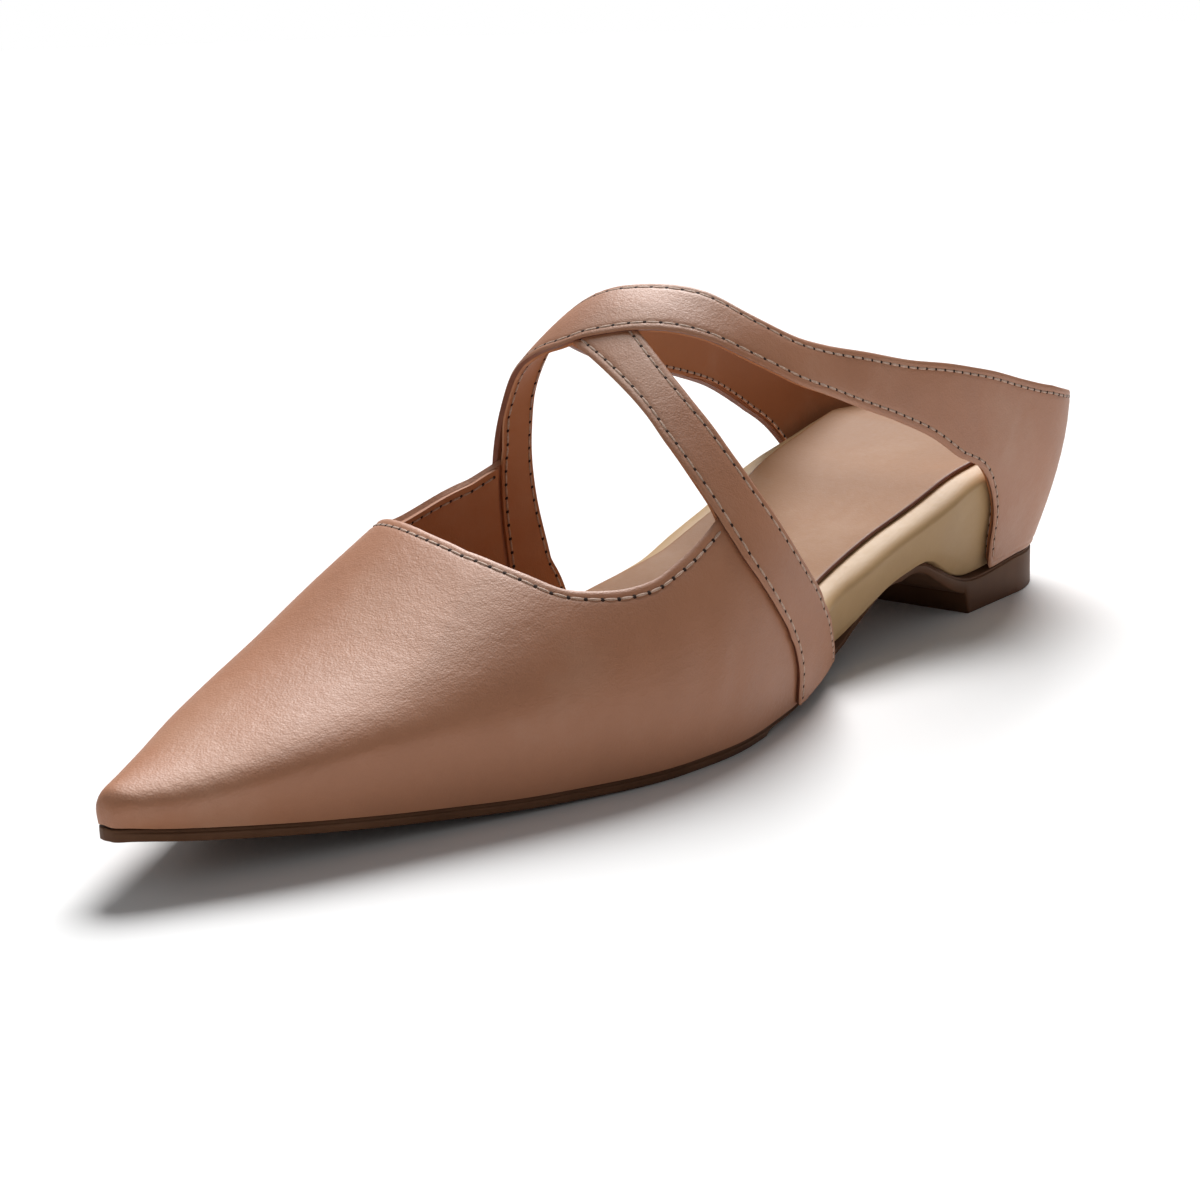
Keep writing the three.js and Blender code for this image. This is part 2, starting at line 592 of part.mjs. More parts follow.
// Insole: a thin sock on the wedge, inside the upper.
function insoleGeometry() {
  const front = 1 - (TOE_PUFF + SOCK_STOP) / LENGTH;
  return crossLoft(bottomStations(front).map((at) => {
    const top = rimTop(at);
    const bottom = top - SOCK;
    const cup = SEAT_CUP * rim.rise(at);
    const pull = (WALL + SIDE_GAP) * tuck.kept(at) + SHOULDER_WIDTH * tuck.round(at);
    const half = (side) => {
      const row = (z, inward) => {
        const rimPoint = sidePoint(at, side, -pull - inward, z);
        return [rimPoint, ...cupped(rimPoint, midPoint(at, -pull - inward, z), cup)];
      };
      const lip = sidePoint(at, side, -pull, top - SOCK_EDGE);
      return [...row(bottom, 0).reverse(), lip, ...row(top, SOCK_EDGE)];
    };
    return { outer: half(1), inner: half(-1) };
  }));
}

const finishes = {
  sole: new THREE.MeshStandardMaterial({ color: 0x5a3d31, roughness: 0.6, metalness: 0 }),
  cover: new THREE.MeshStandardMaterial({ color: 0xb99a72, roughness: 0.5, metalness: 0 }),
  sock: new THREE.MeshStandardMaterial({ color: 0xcfa47c, roughness: 0.6, metalness: 0 }),
  leather: new THREE.MeshStandardMaterial({ color: 0xb07d61, roughness: 0.45, metalness: 0 }),
};

function piece(name, geometry, material) {
  const mesh = new THREE.Mesh(geometry, material);
  mesh.name = name;
  return mesh;
}

const shoe = new THREE.Group();
shoe.add(piece("outsole", outsoleGeometry(), finishes.sole));
shoe.add(piece("wedge", wedgeGeometry(), finishes.cover));
shoe.add(piece("insole", insoleGeometry(), finishes.sock));
shoe.add(piece("upper", upperGeometry(), finishes.leather));
shoe.position.x = -HEEL_LENGTH / 2;

export default shoe;
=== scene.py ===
"""Left mule shoe with a pointed toe, crossed straps and a low carved wedge.

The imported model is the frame. Sizes here are in millimetres and become metres in lay_grid.
"""
import bisect
import functools
import math

import bmesh
import bpy
from mathutils import Matrix, Vector


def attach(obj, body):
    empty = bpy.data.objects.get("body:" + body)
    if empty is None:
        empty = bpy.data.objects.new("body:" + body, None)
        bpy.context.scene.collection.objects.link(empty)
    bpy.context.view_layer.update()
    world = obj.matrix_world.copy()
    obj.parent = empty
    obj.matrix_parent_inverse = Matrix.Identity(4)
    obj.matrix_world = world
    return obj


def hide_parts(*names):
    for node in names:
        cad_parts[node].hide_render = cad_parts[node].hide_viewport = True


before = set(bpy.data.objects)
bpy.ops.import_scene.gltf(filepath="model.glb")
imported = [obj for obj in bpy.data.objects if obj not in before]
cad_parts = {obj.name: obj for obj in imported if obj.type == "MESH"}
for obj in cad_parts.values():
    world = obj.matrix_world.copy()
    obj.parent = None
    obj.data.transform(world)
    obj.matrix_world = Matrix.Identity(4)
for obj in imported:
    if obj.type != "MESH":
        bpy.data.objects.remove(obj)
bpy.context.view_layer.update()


# Camera, floor and light: the shoe stands on a pale studio floor with a white ground,
# seen from in front of its toe on the left. A wide soft sun stands above and behind the
# heel. Weak lamps fill in, and one overhead shines on the leather's polish alone.
MM = 0.001
EYE = Vector((441.0, 257.75, 129.7)) * MM
EYE_TURN = math.radians(-141.053)
EYE_TILT = math.radians(-14.766)
EYE_ROLL = math.radians(-1.574)
EYE_FOCAL = 66.623
FLOOR_HALF = 12
FLOOR_COLOUR = (0.85, 0.85, 0.85, 1)
GROUND_LIGHT = 0.19
SUN_POWER = 4.45
SUN_FROM = (-0.58, -0.32, 0.75)
SUN_SOFTNESS = 34

ahead = Vector((math.cos(EYE_TILT) * math.cos(EYE_TURN),
                math.cos(EYE_TILT) * math.sin(EYE_TURN), math.sin(EYE_TILT)))
level = ahead.cross(Vector((0, 0, 1))).normalized()
upward = level.cross(ahead)
right = level * math.cos(EYE_ROLL) + upward * math.sin(EYE_ROLL)
upward = upward * math.cos(EYE_ROLL) - level * math.sin(EYE_ROLL)
camera_data = bpy.data.cameras.new("camera")
camera_data.sensor_width = 36
camera_data.lens = EYE_FOCAL
camera_data.clip_start = 0.01
camera = bpy.data.objects.new("camera", camera_data)
turn = Matrix((right, upward, -ahead)).transposed().to_4x4()
camera.matrix_world = Matrix.Translation(EYE) @ turn
bpy.context.collection.objects.link(camera)
bpy.context.scene.camera = camera
bpy.context.scene.view_settings.view_transform = "Standard"
bpy.context.scene.view_settings.look = "None"

floor_mesh = bpy.data.meshes.new("floor")
sheet = bmesh.new()
bmesh.ops.create_grid(sheet, x_segments=2, y_segments=2, size=FLOOR_HALF)
sheet.to_mesh(floor_mesh)
sheet.free()
floor = bpy.data.objects.new("floor", floor_mesh)
bpy.context.collection.objects.link(floor)
floor_finish = bpy.data.materials.new("pale_floor")
floor_finish.use_nodes = True
floor_shader = floor_finish.node_tree.nodes["Principled BSDF"]
floor_shader.inputs["Base Color"].default_value = FLOOR_COLOUR
floor_shader.inputs["Roughness"].default_value = 1
floor_shader.inputs["Specular IOR Level"].default_value = 0
floor_mesh.materials.append(floor_finish)

ground = bpy.data.worlds.new("ground")
ground.use_nodes = True
ground_tree = ground.node_tree
soft_light = ground_tree.nodes["Background"]
soft_light.inputs["Color"].default_value = (1, 1, 1, 1)
soft_light.inputs["Strength"].default_value = GROUND_LIGHT
backdrop = ground_tree.nodes.new("ShaderNodeBackground")
backdrop.inputs["Color"].default_value = (1, 1, 1, 1)
ray_kind = ground_tree.nodes.new("ShaderNodeLightPath")
seen_or_lit = ground_tree.nodes.new("ShaderNodeMixShader")
ground_tree.links.new(ray_kind.outputs["Is Camera Ray"], seen_or_lit.inputs[0])
ground_tree.links.new(soft_light.outputs["Background"], seen_or_lit.inputs[1])
ground_tree.links.new(backdrop.outputs["Background"], seen_or_lit.inputs[2])
ground_tree.links.new(seen_or_lit.outputs["Shader"],
                      ground_tree.nodes["World Output"].inputs["Surface"])
bpy.context.scene.world = ground


def hang_lamp(name, place, aim, size, power, colour):
    """A square soft lamp that faces a point of the shoe."""
    data = bpy.data.lights.new(name, "AREA")
    data.size = size
    data.energy = power
    data.color = colour
    lamp = bpy.data.objects.new(name, data)
    lamp.location = place
    lamp.rotation_euler = (Vector(aim) - Vector(place)).to_track_quat("-Z", "Y").to_euler()
    bpy.context.collection.objects.link(lamp)


main_data = bpy.data.lights.new("main_lamp", "SUN")
main_data.energy = SUN_POWER
main_data.angle = math.radians(SUN_SOFTNESS)
main_lamp = bpy.data.objects.new("main_lamp", main_data)
main_lamp.rotation_euler = (-Vector(SUN_FROM)).to_track_quat("-Z", "Y").to_euler()
bpy.context.collection.objects.link(main_lamp)
hang_lamp("back_lamp", (-0.42, -0.50, 0.66), (0.12, 0, 0.04), 0.5, 1.2, (1, 0.98, 0.96))
hang_lamp("side_lamp", (0.55, -0.70, 0.62), (0.16, 0, 0.03), 0.35, 0.3, (1, 0.98, 0.96))
hang_lamp("front_lamp", (0.85, 0.75, 0.65), (0.10, 0, 0.03), 0.8, 0.3, (1, 1, 1))
hang_lamp("polish_lamp", (0.10, -0.15, 0.75), (0.13, 0, 0.05), 0.45, 3.4, (1, 0.92, 0.83))
bpy.data.objects["polish_lamp"].visible_diffuse = False


# Outsole: one moulding of brown rubber with the forepart, the carved waist and the heel
# block, a recess along the top of its side, and fine ribs across its underside. Its
# outline is the last's, so the last's own sizes and sections stand here.
LENGTH = 263
BALL_HALF = 39.5
INSTEP = 90
FLARE = 7.8
HEEL_LIFT = 6.9
TOE_LIFT = 8.7
ARCH_RISE = 8.9
HEEL_ROUND = 25
HEEL_LENGTH = 47.5
FOREPART_SOLE = 2.1
CLEARANCE = 0.3
GROOVE = 0.35
GROOVE_HEIGHT = 0.55
EDGE_BEVEL = 0.35
WAIST_BEVEL = 2.6
WAIST_AT = 0.41
WAIST_HALF = 0.13
RIB_PITCH = 3.2
RIB_DEPTH = 0.35
RIB_INSET = 6.0
WAIST_THIN = 0.45
FOOT_ROUND = 0.35
RIB_SHARE = 0.55
RIBS_FROM = 0.02
RIBS_TO = 0.93
RIBS_OFF_WAIST = (0.19, 0.40)
BREAST_GAP = 0.012
NOSE_FADE = 5
NOSE_FROM = 0.991
FAN_AT = HEEL_ROUND / LENGTH
BACK_AT = -0.08
BALL_AT = 0.55
FEATHER_Z = FOREPART_SOLE + CLEARANCE
LOW_GIRTH = 0.3
WELD = 0.02
BACK_REACH = 0.85
BACK_SWELL = 1

# at: share of the length. lift: share of the heel's lift behind the ball, of the toe's
# lift in front. outer, inner: half widths at the sole, shares of half the ball.
# outer_flare, inner_flare: shares of the flare at the widest place. wide, ridge: heights,
# shares of the instep. lean: the ridge's place. round: exponent of the arch above.
SECTION_COLUMNS = ("at", "lift", "outer", "inner", "outer_flare", "inner_flare",
                   "wide", "ridge", "lean", "round")
SECTIONS = (
    (0.095, 1.00, 0.622, 0.622, 1.00, 1.00, 0.400, 1.082, 0.000, 3.00),
    (0.160, 0.81, 0.622, 0.618, 0.97, 0.97, 0.389, 1.064, 0.000, 3.00),
    (0.228, 0.75, 0.618, 0.592, 0.90, 0.95, 0.356, 1.022, 0.000, 2.90),
    (0.304, 0.61, 0.592, 0.547, 0.82, 0.90, 0.311, 0.993, -0.013, 2.60),
    (0.380, 0.36, 0.633, 0.572, 0.64, 0.69, 0.267, 0.949, -0.038, 2.40),
    (0.449, 0.12, 0.775, 0.699, 0.41, 0.44, 0.211, 0.898, -0.063, 2.20),
    (0.506, 0.00, 0.880, 0.810, 0.31, 0.38, 0.180, 0.832, -0.086, 2.02),
    (0.589, 0.00, 0.967, 0.922, 0.26, 0.31, 0.156, 0.662, -0.114, 1.95),
    (0.640, 0.00, 0.937, 0.932, 0.26, 0.28, 0.148, 0.560, -0.123, 1.95),
    (0.741, 0.08, 0.734, 0.846, 0.28, 0.28, 0.139, 0.401, -0.139, 2.00),
    (0.817, 0.25, 0.527, 0.694, 0.28, 0.28, 0.133, 0.277, -0.147, 2.00),
    (0.894, 0.52, 0.319, 0.486, 0.26, 0.28, 0.100, 0.176, -0.144, 2.05),
    (0.951, 0.76, 0.137, 0.309, 0.20, 0.26, 0.055, 0.108, -0.132, 2.05),
    (0.980, 0.90, 0.032, 0.217, 0.16, 0.18, 0.038, 0.077, -0.124, 2.05),
    (0.993, 0.97, -0.033, 0.184, 0.08, 0.08, 0.031, 0.061, -0.121, 2.10),
    (0.997, 0.98, -0.060, 0.172, 0.05, 0.05, 0.026, 0.048, -0.120, 2.15),
    (0.999, 0.99, -0.082, 0.156, 0.03, 0.03, 0.019, 0.034, -0.120, 2.15),
    (0.9996, 1.00, -0.096, 0.142, 0.02, 0.02, 0.014, 0.024, -0.120, 2.15),
    (1.000, 1.00, -0.118, 0.122, 0.00, 0.00, 0.001, 0.002, -0.120, 2.15),
)
ARCH_COLUMNS = ("at", "rise", "thick")
ARCH = (
    (0.150, 0.00, 1.75), (0.171, 0.02, 1.72), (0.186, 0.10, 1.66), (0.205, 0.30, 1.52),
    (0.227, 0.62, 1.33), (0.251, 0.955, 1.18), (0.262, 1.00, 1.14), (0.281, 0.92, 1.12),
    (0.303, 0.79, 1.10), (0.327, 0.56, 1.06), (0.354, 0.31, 1.03), (0.376, 0.10, 1.00),
    (0.402, 0.00, 1.00), (0.450, 0.00, 1.00),
)


def smooth_curve(xs, ys):
    """A curve through the points that never overshoots them."""
    last = len(xs) - 1
    slopes = [(ys[i + 1] - ys[i]) / (xs[i + 1] - xs[i]) for i in range(last)]
    tangents = [slopes[0]]
    for i in range(1, last):
        if slopes[i - 1] * slopes[i] <= 0:
            tangents.append(0)
            continue
        before = xs[i] - xs[i - 1]
        after = xs[i + 1] - xs[i]
        first = 2 * after + before
        second = after + 2 * before
        tangents.append((first + second) / (first / slopes[i - 1] + second / slopes[i]))
    tangents.append(slopes[-1])

    def value(x):
        x = min(max(x, xs[0]), xs[last])
        i = min(bisect.bisect_left(xs, x, 1) - 1, last - 1)
        step = xs[i + 1] - xs[i]
        t = (x - xs[i]) / step
        return ((1 + 2 * t) * (1 - t) ** 2 * ys[i] + t * (1 - t) ** 2 * step * tangents[i]
                + t * t * (3 - 2 * t) * ys[i + 1] + t * t * (t - 1) * step * tangents[i + 1])

    return value


def curves(columns, rows, over_rows=False):
    """One curve for each column, over the first column or over the row's number."""
    xs = list(range(len(rows))) if over_rows else [row[0] for row in rows]
    return {name: smooth_curve(xs, [row[i] for row in rows])
            for i, name in enumerate(columns)}


section_curves = curves(SECTION_COLUMNS, SECTIONS)
arch = curves(ARCH_COLUMNS, ARCH)


@functools.lru_cache(maxsize=None)
def section(at):
    return {name: curve(at) for name, curve in section_curves.items()}


def feather_z(at):
    """Height of the line where the upper meets the sole."""
    here = max(at, FAN_AT)
    return FEATHER_Z + section(here)["lift"] * (TOE_LIFT if here > BALL_AT else HEEL_LIFT)


def reach(angle, side, back):
    if angle == 0:
        return side
    return 1 / math.hypot(math.cos(angle) / side, math.sin(angle) / back)


def last_point(at, girth):
    """A point of the last. girth is 1 at the outer feather, 0 on the ridge and -1 at the
    inner feather. Behind FAN_AT the sections turn round the heel to BACK_AT."""
    side = 1 if girth >= 0 else -1
    here = section(max(at, FAN_AT))
    lean = here["lean"] * BALL_HALF
    half = here["outer"] if side > 0 else here["inner"]
    flare = FLARE * (here["outer_flare"] if side > 0 else here["inner_flare"])
    low = half * BALL_HALF - side * lean
    angle = max(0, (FAN_AT - at) / (FAN_AT - BACK_AT)) * math.pi / 2
    low_reach = reach(angle, low, HEEL_ROUND)
    wide_reach = reach(angle, low + flare, HEEL_ROUND + BACK_REACH * flare + BACK_SWELL)
    foot = feather_z(at)
    wide = here["wide"] * INSTEP
    ridge = max(here["ridge"] * INSTEP - wide, 0)
    rise = 1 - abs(girth)
    if rise < LOW_GIRTH:
        share = rise / LOW_GIRTH
        out = low_reach + (wide_reach - low_reach) * math.sin(share * math.pi / 2)
        z = foot + wide * share
    else:
        up = math.sin(min((rise - LOW_GIRTH) / (1 - LOW_GIRTH), 1) * math.pi / 2)
        out = wide_reach * math.sqrt(max(0, 1 - up ** here["round"]))
        z = foot + wide + ridge * up
    x = FAN_AT * LENGTH - out * math.sin(angle) if angle > 0 else at * LENGTH
    return Vector((x, lean + side * out * math.cos(angle), z))


def last_normal(at, girth):
    step_at, step_girth = 0.002, 0.008
    along = last_point(at + step_at, girth) - last_point(at - step_at, girth)
    across = last_point(at, girth + step_girth) - last_point(at, girth - step_girth)
    return along.cross(across).normalized()


def off_last(at, girth, off):
    return last_point(at, girth) + last_normal(at, girth) * off


def spread(first, last, count):
    return [first + (last - first) * i / (count - 1) for i in range(count)]


def lay_grid(name, columns, rows, place, finishes):
    """A sheet of columns by rows points. place(i, j) gives each point in millimetres from
    the heel's back; the object stands in the frame, in metres."""
    sheet = bmesh.new()
    bmesh.ops.create_grid(sheet, x_segments=columns - 1, y_segments=rows - 1, size=1)
    origin = Vector((HEEL_LENGTH / 2, 0, 0))
    for vertex in sheet.verts:
        i = round((vertex.co.x + 1) / 2 * (columns - 1))
        j = round((vertex.co.y + 1) / 2 * (rows - 1))
        vertex.co = (place(i, j) - origin) * MM
    bmesh.ops.remove_doubles(sheet, verts=sheet.verts, dist=WELD * MM)
    bmesh.ops.dissolve_degenerate(sheet, edges=sheet.edges, dist=WELD * MM / 4)
    for face in sheet.faces:
        face.smooth = True
    mesh = bpy.data.meshes.new(name)
    sheet.to_mesh(mesh)
    sheet.free()
    piece = bpy.data.objects.new(name, mesh)
    bpy.context.collection.objects.link(piece)
    for finish in finishes:
        mesh.materials.append(finish)
    return piece


def loft(name, stations, half, finishes):
    """A closed piece through rings at the stations. half(at, side) gives one side of a
    ring, from the underside's middle to the top's middle."""
    halves = [(half(at, 1), half(at, -1)) for at in stations]
    count = len(halves[0][0])

    def place(i, j):
        return halves[i][0][j] if j < count else halves[i][1][2 * count - 1 - j]

    piece = lay_grid(name, len(stations), 2 * count, place, finishes)
    shell = bmesh.new()
    shell.from_mesh(piece.data)
    ends = [edge for edge in shell.edges if edge.is_boundary]
    bmesh.ops.holes_fill(shell, edges=ends, sides=0)
    bmesh.ops.recalc_face_normals(shell, faces=shell.faces)
    shell.to_mesh(piece.data)
    shell.free()
    return piece


def new_finish(name, colour, roughness):
    """A material with its shader, ready for its own pattern."""
    finish = bpy.data.materials.new(name)
    finish.use_nodes = True
    shader = finish.node_tree.nodes["Principled BSDF"]
    shader.inputs["Base Color"].default_value = (*colour, 1)
    shader.inputs["Roughness"].default_value = roughness
    return finish, finish.node_tree, shader


def pattern(tree, kind, scale, **settings):
    """A texture node of this kind on the object's own coordinates."""
    coordinates = tree.nodes.new("ShaderNodeTexCoord")
    texture = tree.nodes.new(kind)
    tree.links.new(coordinates.outputs["Object"], texture.inputs["Vector"])
    texture.inputs["Scale"].default_value = scale
    for key, value in settings.items():
        texture.inputs[key].default_value = value
    return texture


def tint_by(tree, shader, factor, stops):
    """Colours the shader by a factor through a ramp of (place, colour) stops."""
    ramp = tree.nodes.new("ShaderNodeValToRGB")
    while len(ramp.color_ramp.elements) < len(stops):
        ramp.color_ramp.elements.new(0.5)
    for element, (place, colour) in zip(ramp.color_ramp.elements, stops):
        element.position = place
        element.color = (*colour, 1)
    tree.links.new(factor, ramp.inputs["Fac"])
    tree.links.new(ramp.outputs["Color"], shader.inputs["Base Color"])


def raise_by(tree, shader, height, depth, strength=1, under=None):
    """Bumps the shader's surface by a height. under: a bump that lies below it."""
    bump = tree.nodes.new("ShaderNodeBump")
    bump.inputs["Distance"].default_value = depth * MM
    bump.inputs["Strength"].default_value = strength
    tree.links.new(height, bump.inputs["Height"])
    if under:
        tree.links.new(under.outputs["Normal"], bump.inputs["Normal"])
    tree.links.new(bump.outputs["Normal"], shader.inputs["Normal"])
    return bump


def rough_by(tree, shader, factor, low, high):
    between = tree.nodes.new("ShaderNodeMapRange")
    between.inputs["To Min"].default_value = low
    between.inputs["To Max"].default_value = high
    tree.links.new(factor, between.inputs["Value"])
    tree.links.new(between.outputs["Result"], shader.inputs["Roughness"])


def mix_colour(colour, other, share):
    return tuple(a + (b - a) * share for a, b in zip(colour, other))


SOLE_BROWN = (0.130, 0.058, 0.028)
sole_finish, tree, shader = new_finish("brown_rubber", SOLE_BROWN, 0.5)
clouds = pattern(tree, "ShaderNodeTexNoise", 60, Detail=5)
grit = pattern(tree, "ShaderNodeTexNoise", 2600, Detail=3)
tint_by(tree, shader, clouds.outputs["Fac"],
        [(0.3, mix_colour(SOLE_BROWN, (0, 0, 0), 0.25)),
         (0.7, mix_colour(SOLE_BROWN, (0.3, 0.16, 0.1), 0.12))])
rough_by(tree, shader, clouds.outputs["Fac"], 0.42, 0.6)
raise_by(tree, shader, grit.outputs["Fac"], 0.05, 0.5)
shader.inputs["Specular IOR Level"].default_value = 0.12

SOLE_STATIONS = 336
NOSE_STATIONS = (0.9935, 0.9955, 0.997, 0.998, 0.9988, 0.9994, 0.9998, 1)
sole_at = spread(BACK_AT, NOSE_FROM, SOLE_STATIONS - len(NOSE_STATIONS)) + list(NOSE_STATIONS)
breast_at = HEEL_LENGTH / LENGTH


def sole_top(at):
    return feather_z(at) - CLEARANCE + ARCH_RISE * arch["rise"](at)


def waist(at):
    """1 in the middle of the waist, where the side is bevelled most, and 0 beyond it."""
    return math.sqrt(max(0, 1 - abs(at - WAIST_AT) / WAIST_HALF))


def sole_bottom(at):
    if at < breast_at:
        return 0
    return max(0, sole_top(at) - FOREPART_SOLE * arch["thick"](at) * (1 - WAIST_THIN * waist(at)))


def rib(at, inset):
    """How far the underside is cut away at a rib's groove."""
    here = section(max(at, FAN_AT))
    narrow = min(here["outer"] - here["lean"], here["inner"] + here["lean"]) * BALL_HALF
    plain = (at > RIBS_TO or at < RIBS_FROM or abs(at - breast_at) < BREAST_GAP
             or RIBS_OFF_WAIST[0] < at < RIBS_OFF_WAIST[1])
    if inset < RIB_INSET or narrow < RIB_INSET * 1.5 or plain:
        return 0
    wave = 0.5 + 0.5 * math.cos(2 * math.pi * at * LENGTH / RIB_PITCH)
    return RIB_DEPTH * (wave > RIB_SHARE)


def sole_profile(at):
    """Rows of (distance in from the last's side, height) from the underside's middle over
    the rounded foot, the side and its recess to the top's middle."""
    top = sole_top(at)
    bottom = sole_bottom(at)
    bevel = -GROOVE / 2 if at < breast_at else EDGE_BEVEL + WAIST_BEVEL * waist(at)
    thick = top - bottom
    rows = [(None, bottom + rib(at, 99))]
    for inset in (RIB_INSET + 0.3, RIB_INSET - 0.3):
        rows.append((GROOVE + bevel + inset, bottom + rib(at, inset)))
    rows += [
        (GROOVE + bevel + FOOT_ROUND * 1.6, bottom),
        (GROOVE + bevel + FOOT_ROUND * 0.5, bottom + FOOT_ROUND * 0.12),
        (GROOVE + bevel * 0.9 + FOOT_ROUND * 0.1, bottom + FOOT_ROUND * 0.5),
        (GROOVE + bevel * 0.7, bottom + FOOT_ROUND * 1.1),
        (GROOVE + bevel * 0.2, bottom + thick * 0.45),
        (GROOVE, max(top - GROOVE_HEIGHT - 0.3, bottom + thick * 0.5)),
        (GROOVE + 0.05, top - GROOVE_HEIGHT - 0.08),
        (GROOVE + 0.2, top - GROOVE_HEIGHT),
        (2 * GROOVE - 0.05, top - GROOVE_HEIGHT + 0.05),
        (2 * GROOVE, top - GROOVE_HEIGHT + 0.2),
        (2 * GROOVE, top),
        (None, top),
    ]
    return rows


def on_feather(at, side, inward, z):
    point = off_last(at, side, -inward)
    point.z = z
    return point


def sole_half(at, side):
    points = []
    for inward, z in sole_profile(at):
        outer = on_feather(at, 1, 0, z)
        inner = on_feather(at, -1, 0, z)
        if inward is None:
            points.append((outer + inner) / 2)
            continue
        inward *= min(1, (1 - at) * LENGTH / NOSE_FADE)
        points.append(on_feather(at, side, min(inward, (outer.y - inner.y) * 0.3), z))
    return points


outsole = loft("outsole_moulding", sole_at, sole_half, [sole_finish])
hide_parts("outsole")
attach(outsole, "root")


# Wedge: a light core wrapped in smooth beige leather, with a broad rounded top edge at
# the waist. Its front part is the insole board. It is cemented on the outsole, and the
# upper is lasted under it.
WEDGE_RISE = 24.2
BOARD = 4.2
WALL = 1.7
SIDE_GAP = 0.45
SOCK = 0.9
SEAT_CUP = 1.5
CUP_FADE = 0.6
SHOULDER = 2.6
SHOULDER_WIDTH = 6.4
SHOULDER_MOST = 0.6
TOE_PUFF = 9.3
BOARD_STOP = 6
WEDGE_STATIONS = 170
SHOULDER_STEPS = 8
WEDGE_FOOT = ((0.8, 0), (0.25, 0.1))
WALL_FROM = 0.4
BEIGE = (0.48, 0.305, 0.150)
DARK_CLOUD = (0.10, 0.04, 0.02)
PALE_CLOUD = (0.9, 0.75, 0.6)

# rise: height of the rim over the board, a share of the wedge's rise.
RIM_COLUMNS = ("at", "rise")
RIM = (
    (-0.04, 1.00), (0.080, 1.00), (0.190, 0.897), (0.285, 0.657), (0.380, 0.463),
    (0.456, 0.298), (0.494, 0.194), (0.532, 0.120), (0.570, 0.068), (0.608, 0.036),
    (0.684, 0.012), (0.780, 0.010), (0.850, 0.000), (1.000, 0.000),
)

# kept: share of the tuck under the upper. round: share of the shoulder's width.
TUCK_COLUMNS = ("at", "kept", "round")
TUCK = (
    (0.080, 1.00, 0.50), (0.160, 1.00, 0.78), (0.200, 0.90, 0.88), (0.245, 0.55, 1.00),
    (0.340, 0.55, 1.00), (0.400, 1.00, 0.82), (0.450, 1.00, 0.65), (0.510, 1.00, 0.45),
    (0.600, 1.00, 0.40),
)
rim_rise = curves(RIM_COLUMNS, RIM)["rise"]
tuck = curves(TUCK_COLUMNS, TUCK)


def rim_top(at):
    return feather_z(at) - CLEARANCE + BOARD + WEDGE_RISE * rim_rise(at)


def side_point(at, side, off, z):
    """A point beside the last at a height, moved level until it is off the last by off."""
    here = max(at, FAN_AT)
    rise = (z - feather_z(here)) / (section(here)["wide"] * INSTEP)
    girth = side * (1 - LOW_GIRTH * min(rise, 1))
    level = last_normal(at, girth)
    level.z = 0
    point = last_point(at, girth) + level * (off / level.length_squared)
    point.z = z
    return point


def mid_point(at, off, z):
    return (side_point(at, 1, off, z) + side_point(at, -1, off, z)) / 2


def cupped(rim_point, middle, cup, shares):
    """Points from the rim to the middle, sunk by the seat's cup."""
    width = abs(rim_point.y - middle.y) / (CUP_FADE * BALL_HALF)
    depth = cup * (1 - math.cos(min(1, width) * math.pi)) / 2
    points = []
    for share in shares:
        point = rim_point.lerp(middle, share)
        point.z -= depth * math.sin(share * math.pi / 2)
        points.append(point)
    return points


def wedge_half(at, side):
    under = sole_top(at) + CLEARANCE
    top = rim_top(at) - SOCK - CLEARANCE / 3
    pull = (WALL + SIDE_GAP) * tuck["kept"](at)
    shoulder = min(SHOULDER, (top - under) * SHOULDER_MOST)
    width = SHOULDER_WIDTH * tuck["round"](at)

    def edge(inward, z):
        return side_point(at, side, -pull - inward, z)

    points = [mid_point(at, -pull, under)]
    points += [edge(inward, under + up) for inward, up in WEDGE_FOOT]
    low = under + WALL_FROM
    points += [edge(0, low + (top - shoulder - low) * share) for share in (0, 0.25, 0.5, 0.75)]
    for step in range(SHOULDER_STEPS + 1):
        angle = step * math.pi / 2 / SHOULDER_STEPS
        points.append(edge(width * (1 - math.cos(angle)),
                           top - shoulder * (1 - math.sin(angle))))
    middle = mid_point(at, -pull - width, top)
    return points + cupped(points[-1], middle, SEAT_CUP * rim_rise(at), (0.2, 0.5, 1))


def smooth_leather(name, colour, grain, roughness, glow, shine=0.3):
    """Leather finish: clouded colour, fine pores, a little sheen. grain is the pores'
    depth in millimetres, glow the coat's weight and shine the bare leather's reflection."""
    finish, tree, shader = new_finish(name, colour, roughness)
    clouds = pattern(tree, "ShaderNodeTexNoise", 38, Detail=6, Roughness=0.6)
    tint_by(tree, shader, clouds.outputs["Fac"],
            [(0.30, mix_colour(colour, DARK_CLOUD, 0.10)),
             (0.52, colour),
             (0.74, mix_colour(colour, PALE_CLOUD, 0.08))])
    pores = pattern(tree, "ShaderNodeTexVoronoi", 2600, Randomness=1)
    folds = pattern(tree, "ShaderNodeTexNoise", 1050, Detail=2, Roughness=0.5)
    swells = pattern(tree, "ShaderNodeTexNoise", 110, Detail=2, Roughness=0.5)
    rough_by(tree, shader, folds.outputs["Fac"], roughness - 0.05, roughness + 0.08)
    lowest = raise_by(tree, shader, swells.outputs["Fac"], grain * 7, 1)
    below = raise_by(tree, shader, folds.outputs["Fac"], grain * 2, 1, lowest)
    raise_by(tree, shader, pores.outputs["Distance"], grain, 1, below)
    shader.inputs["Coat Weight"].default_value = glow
    shader.inputs["Coat Roughness"].default_value = 0.35
    shader.inputs["Specular IOR Level"].default_value = shine
    return finish


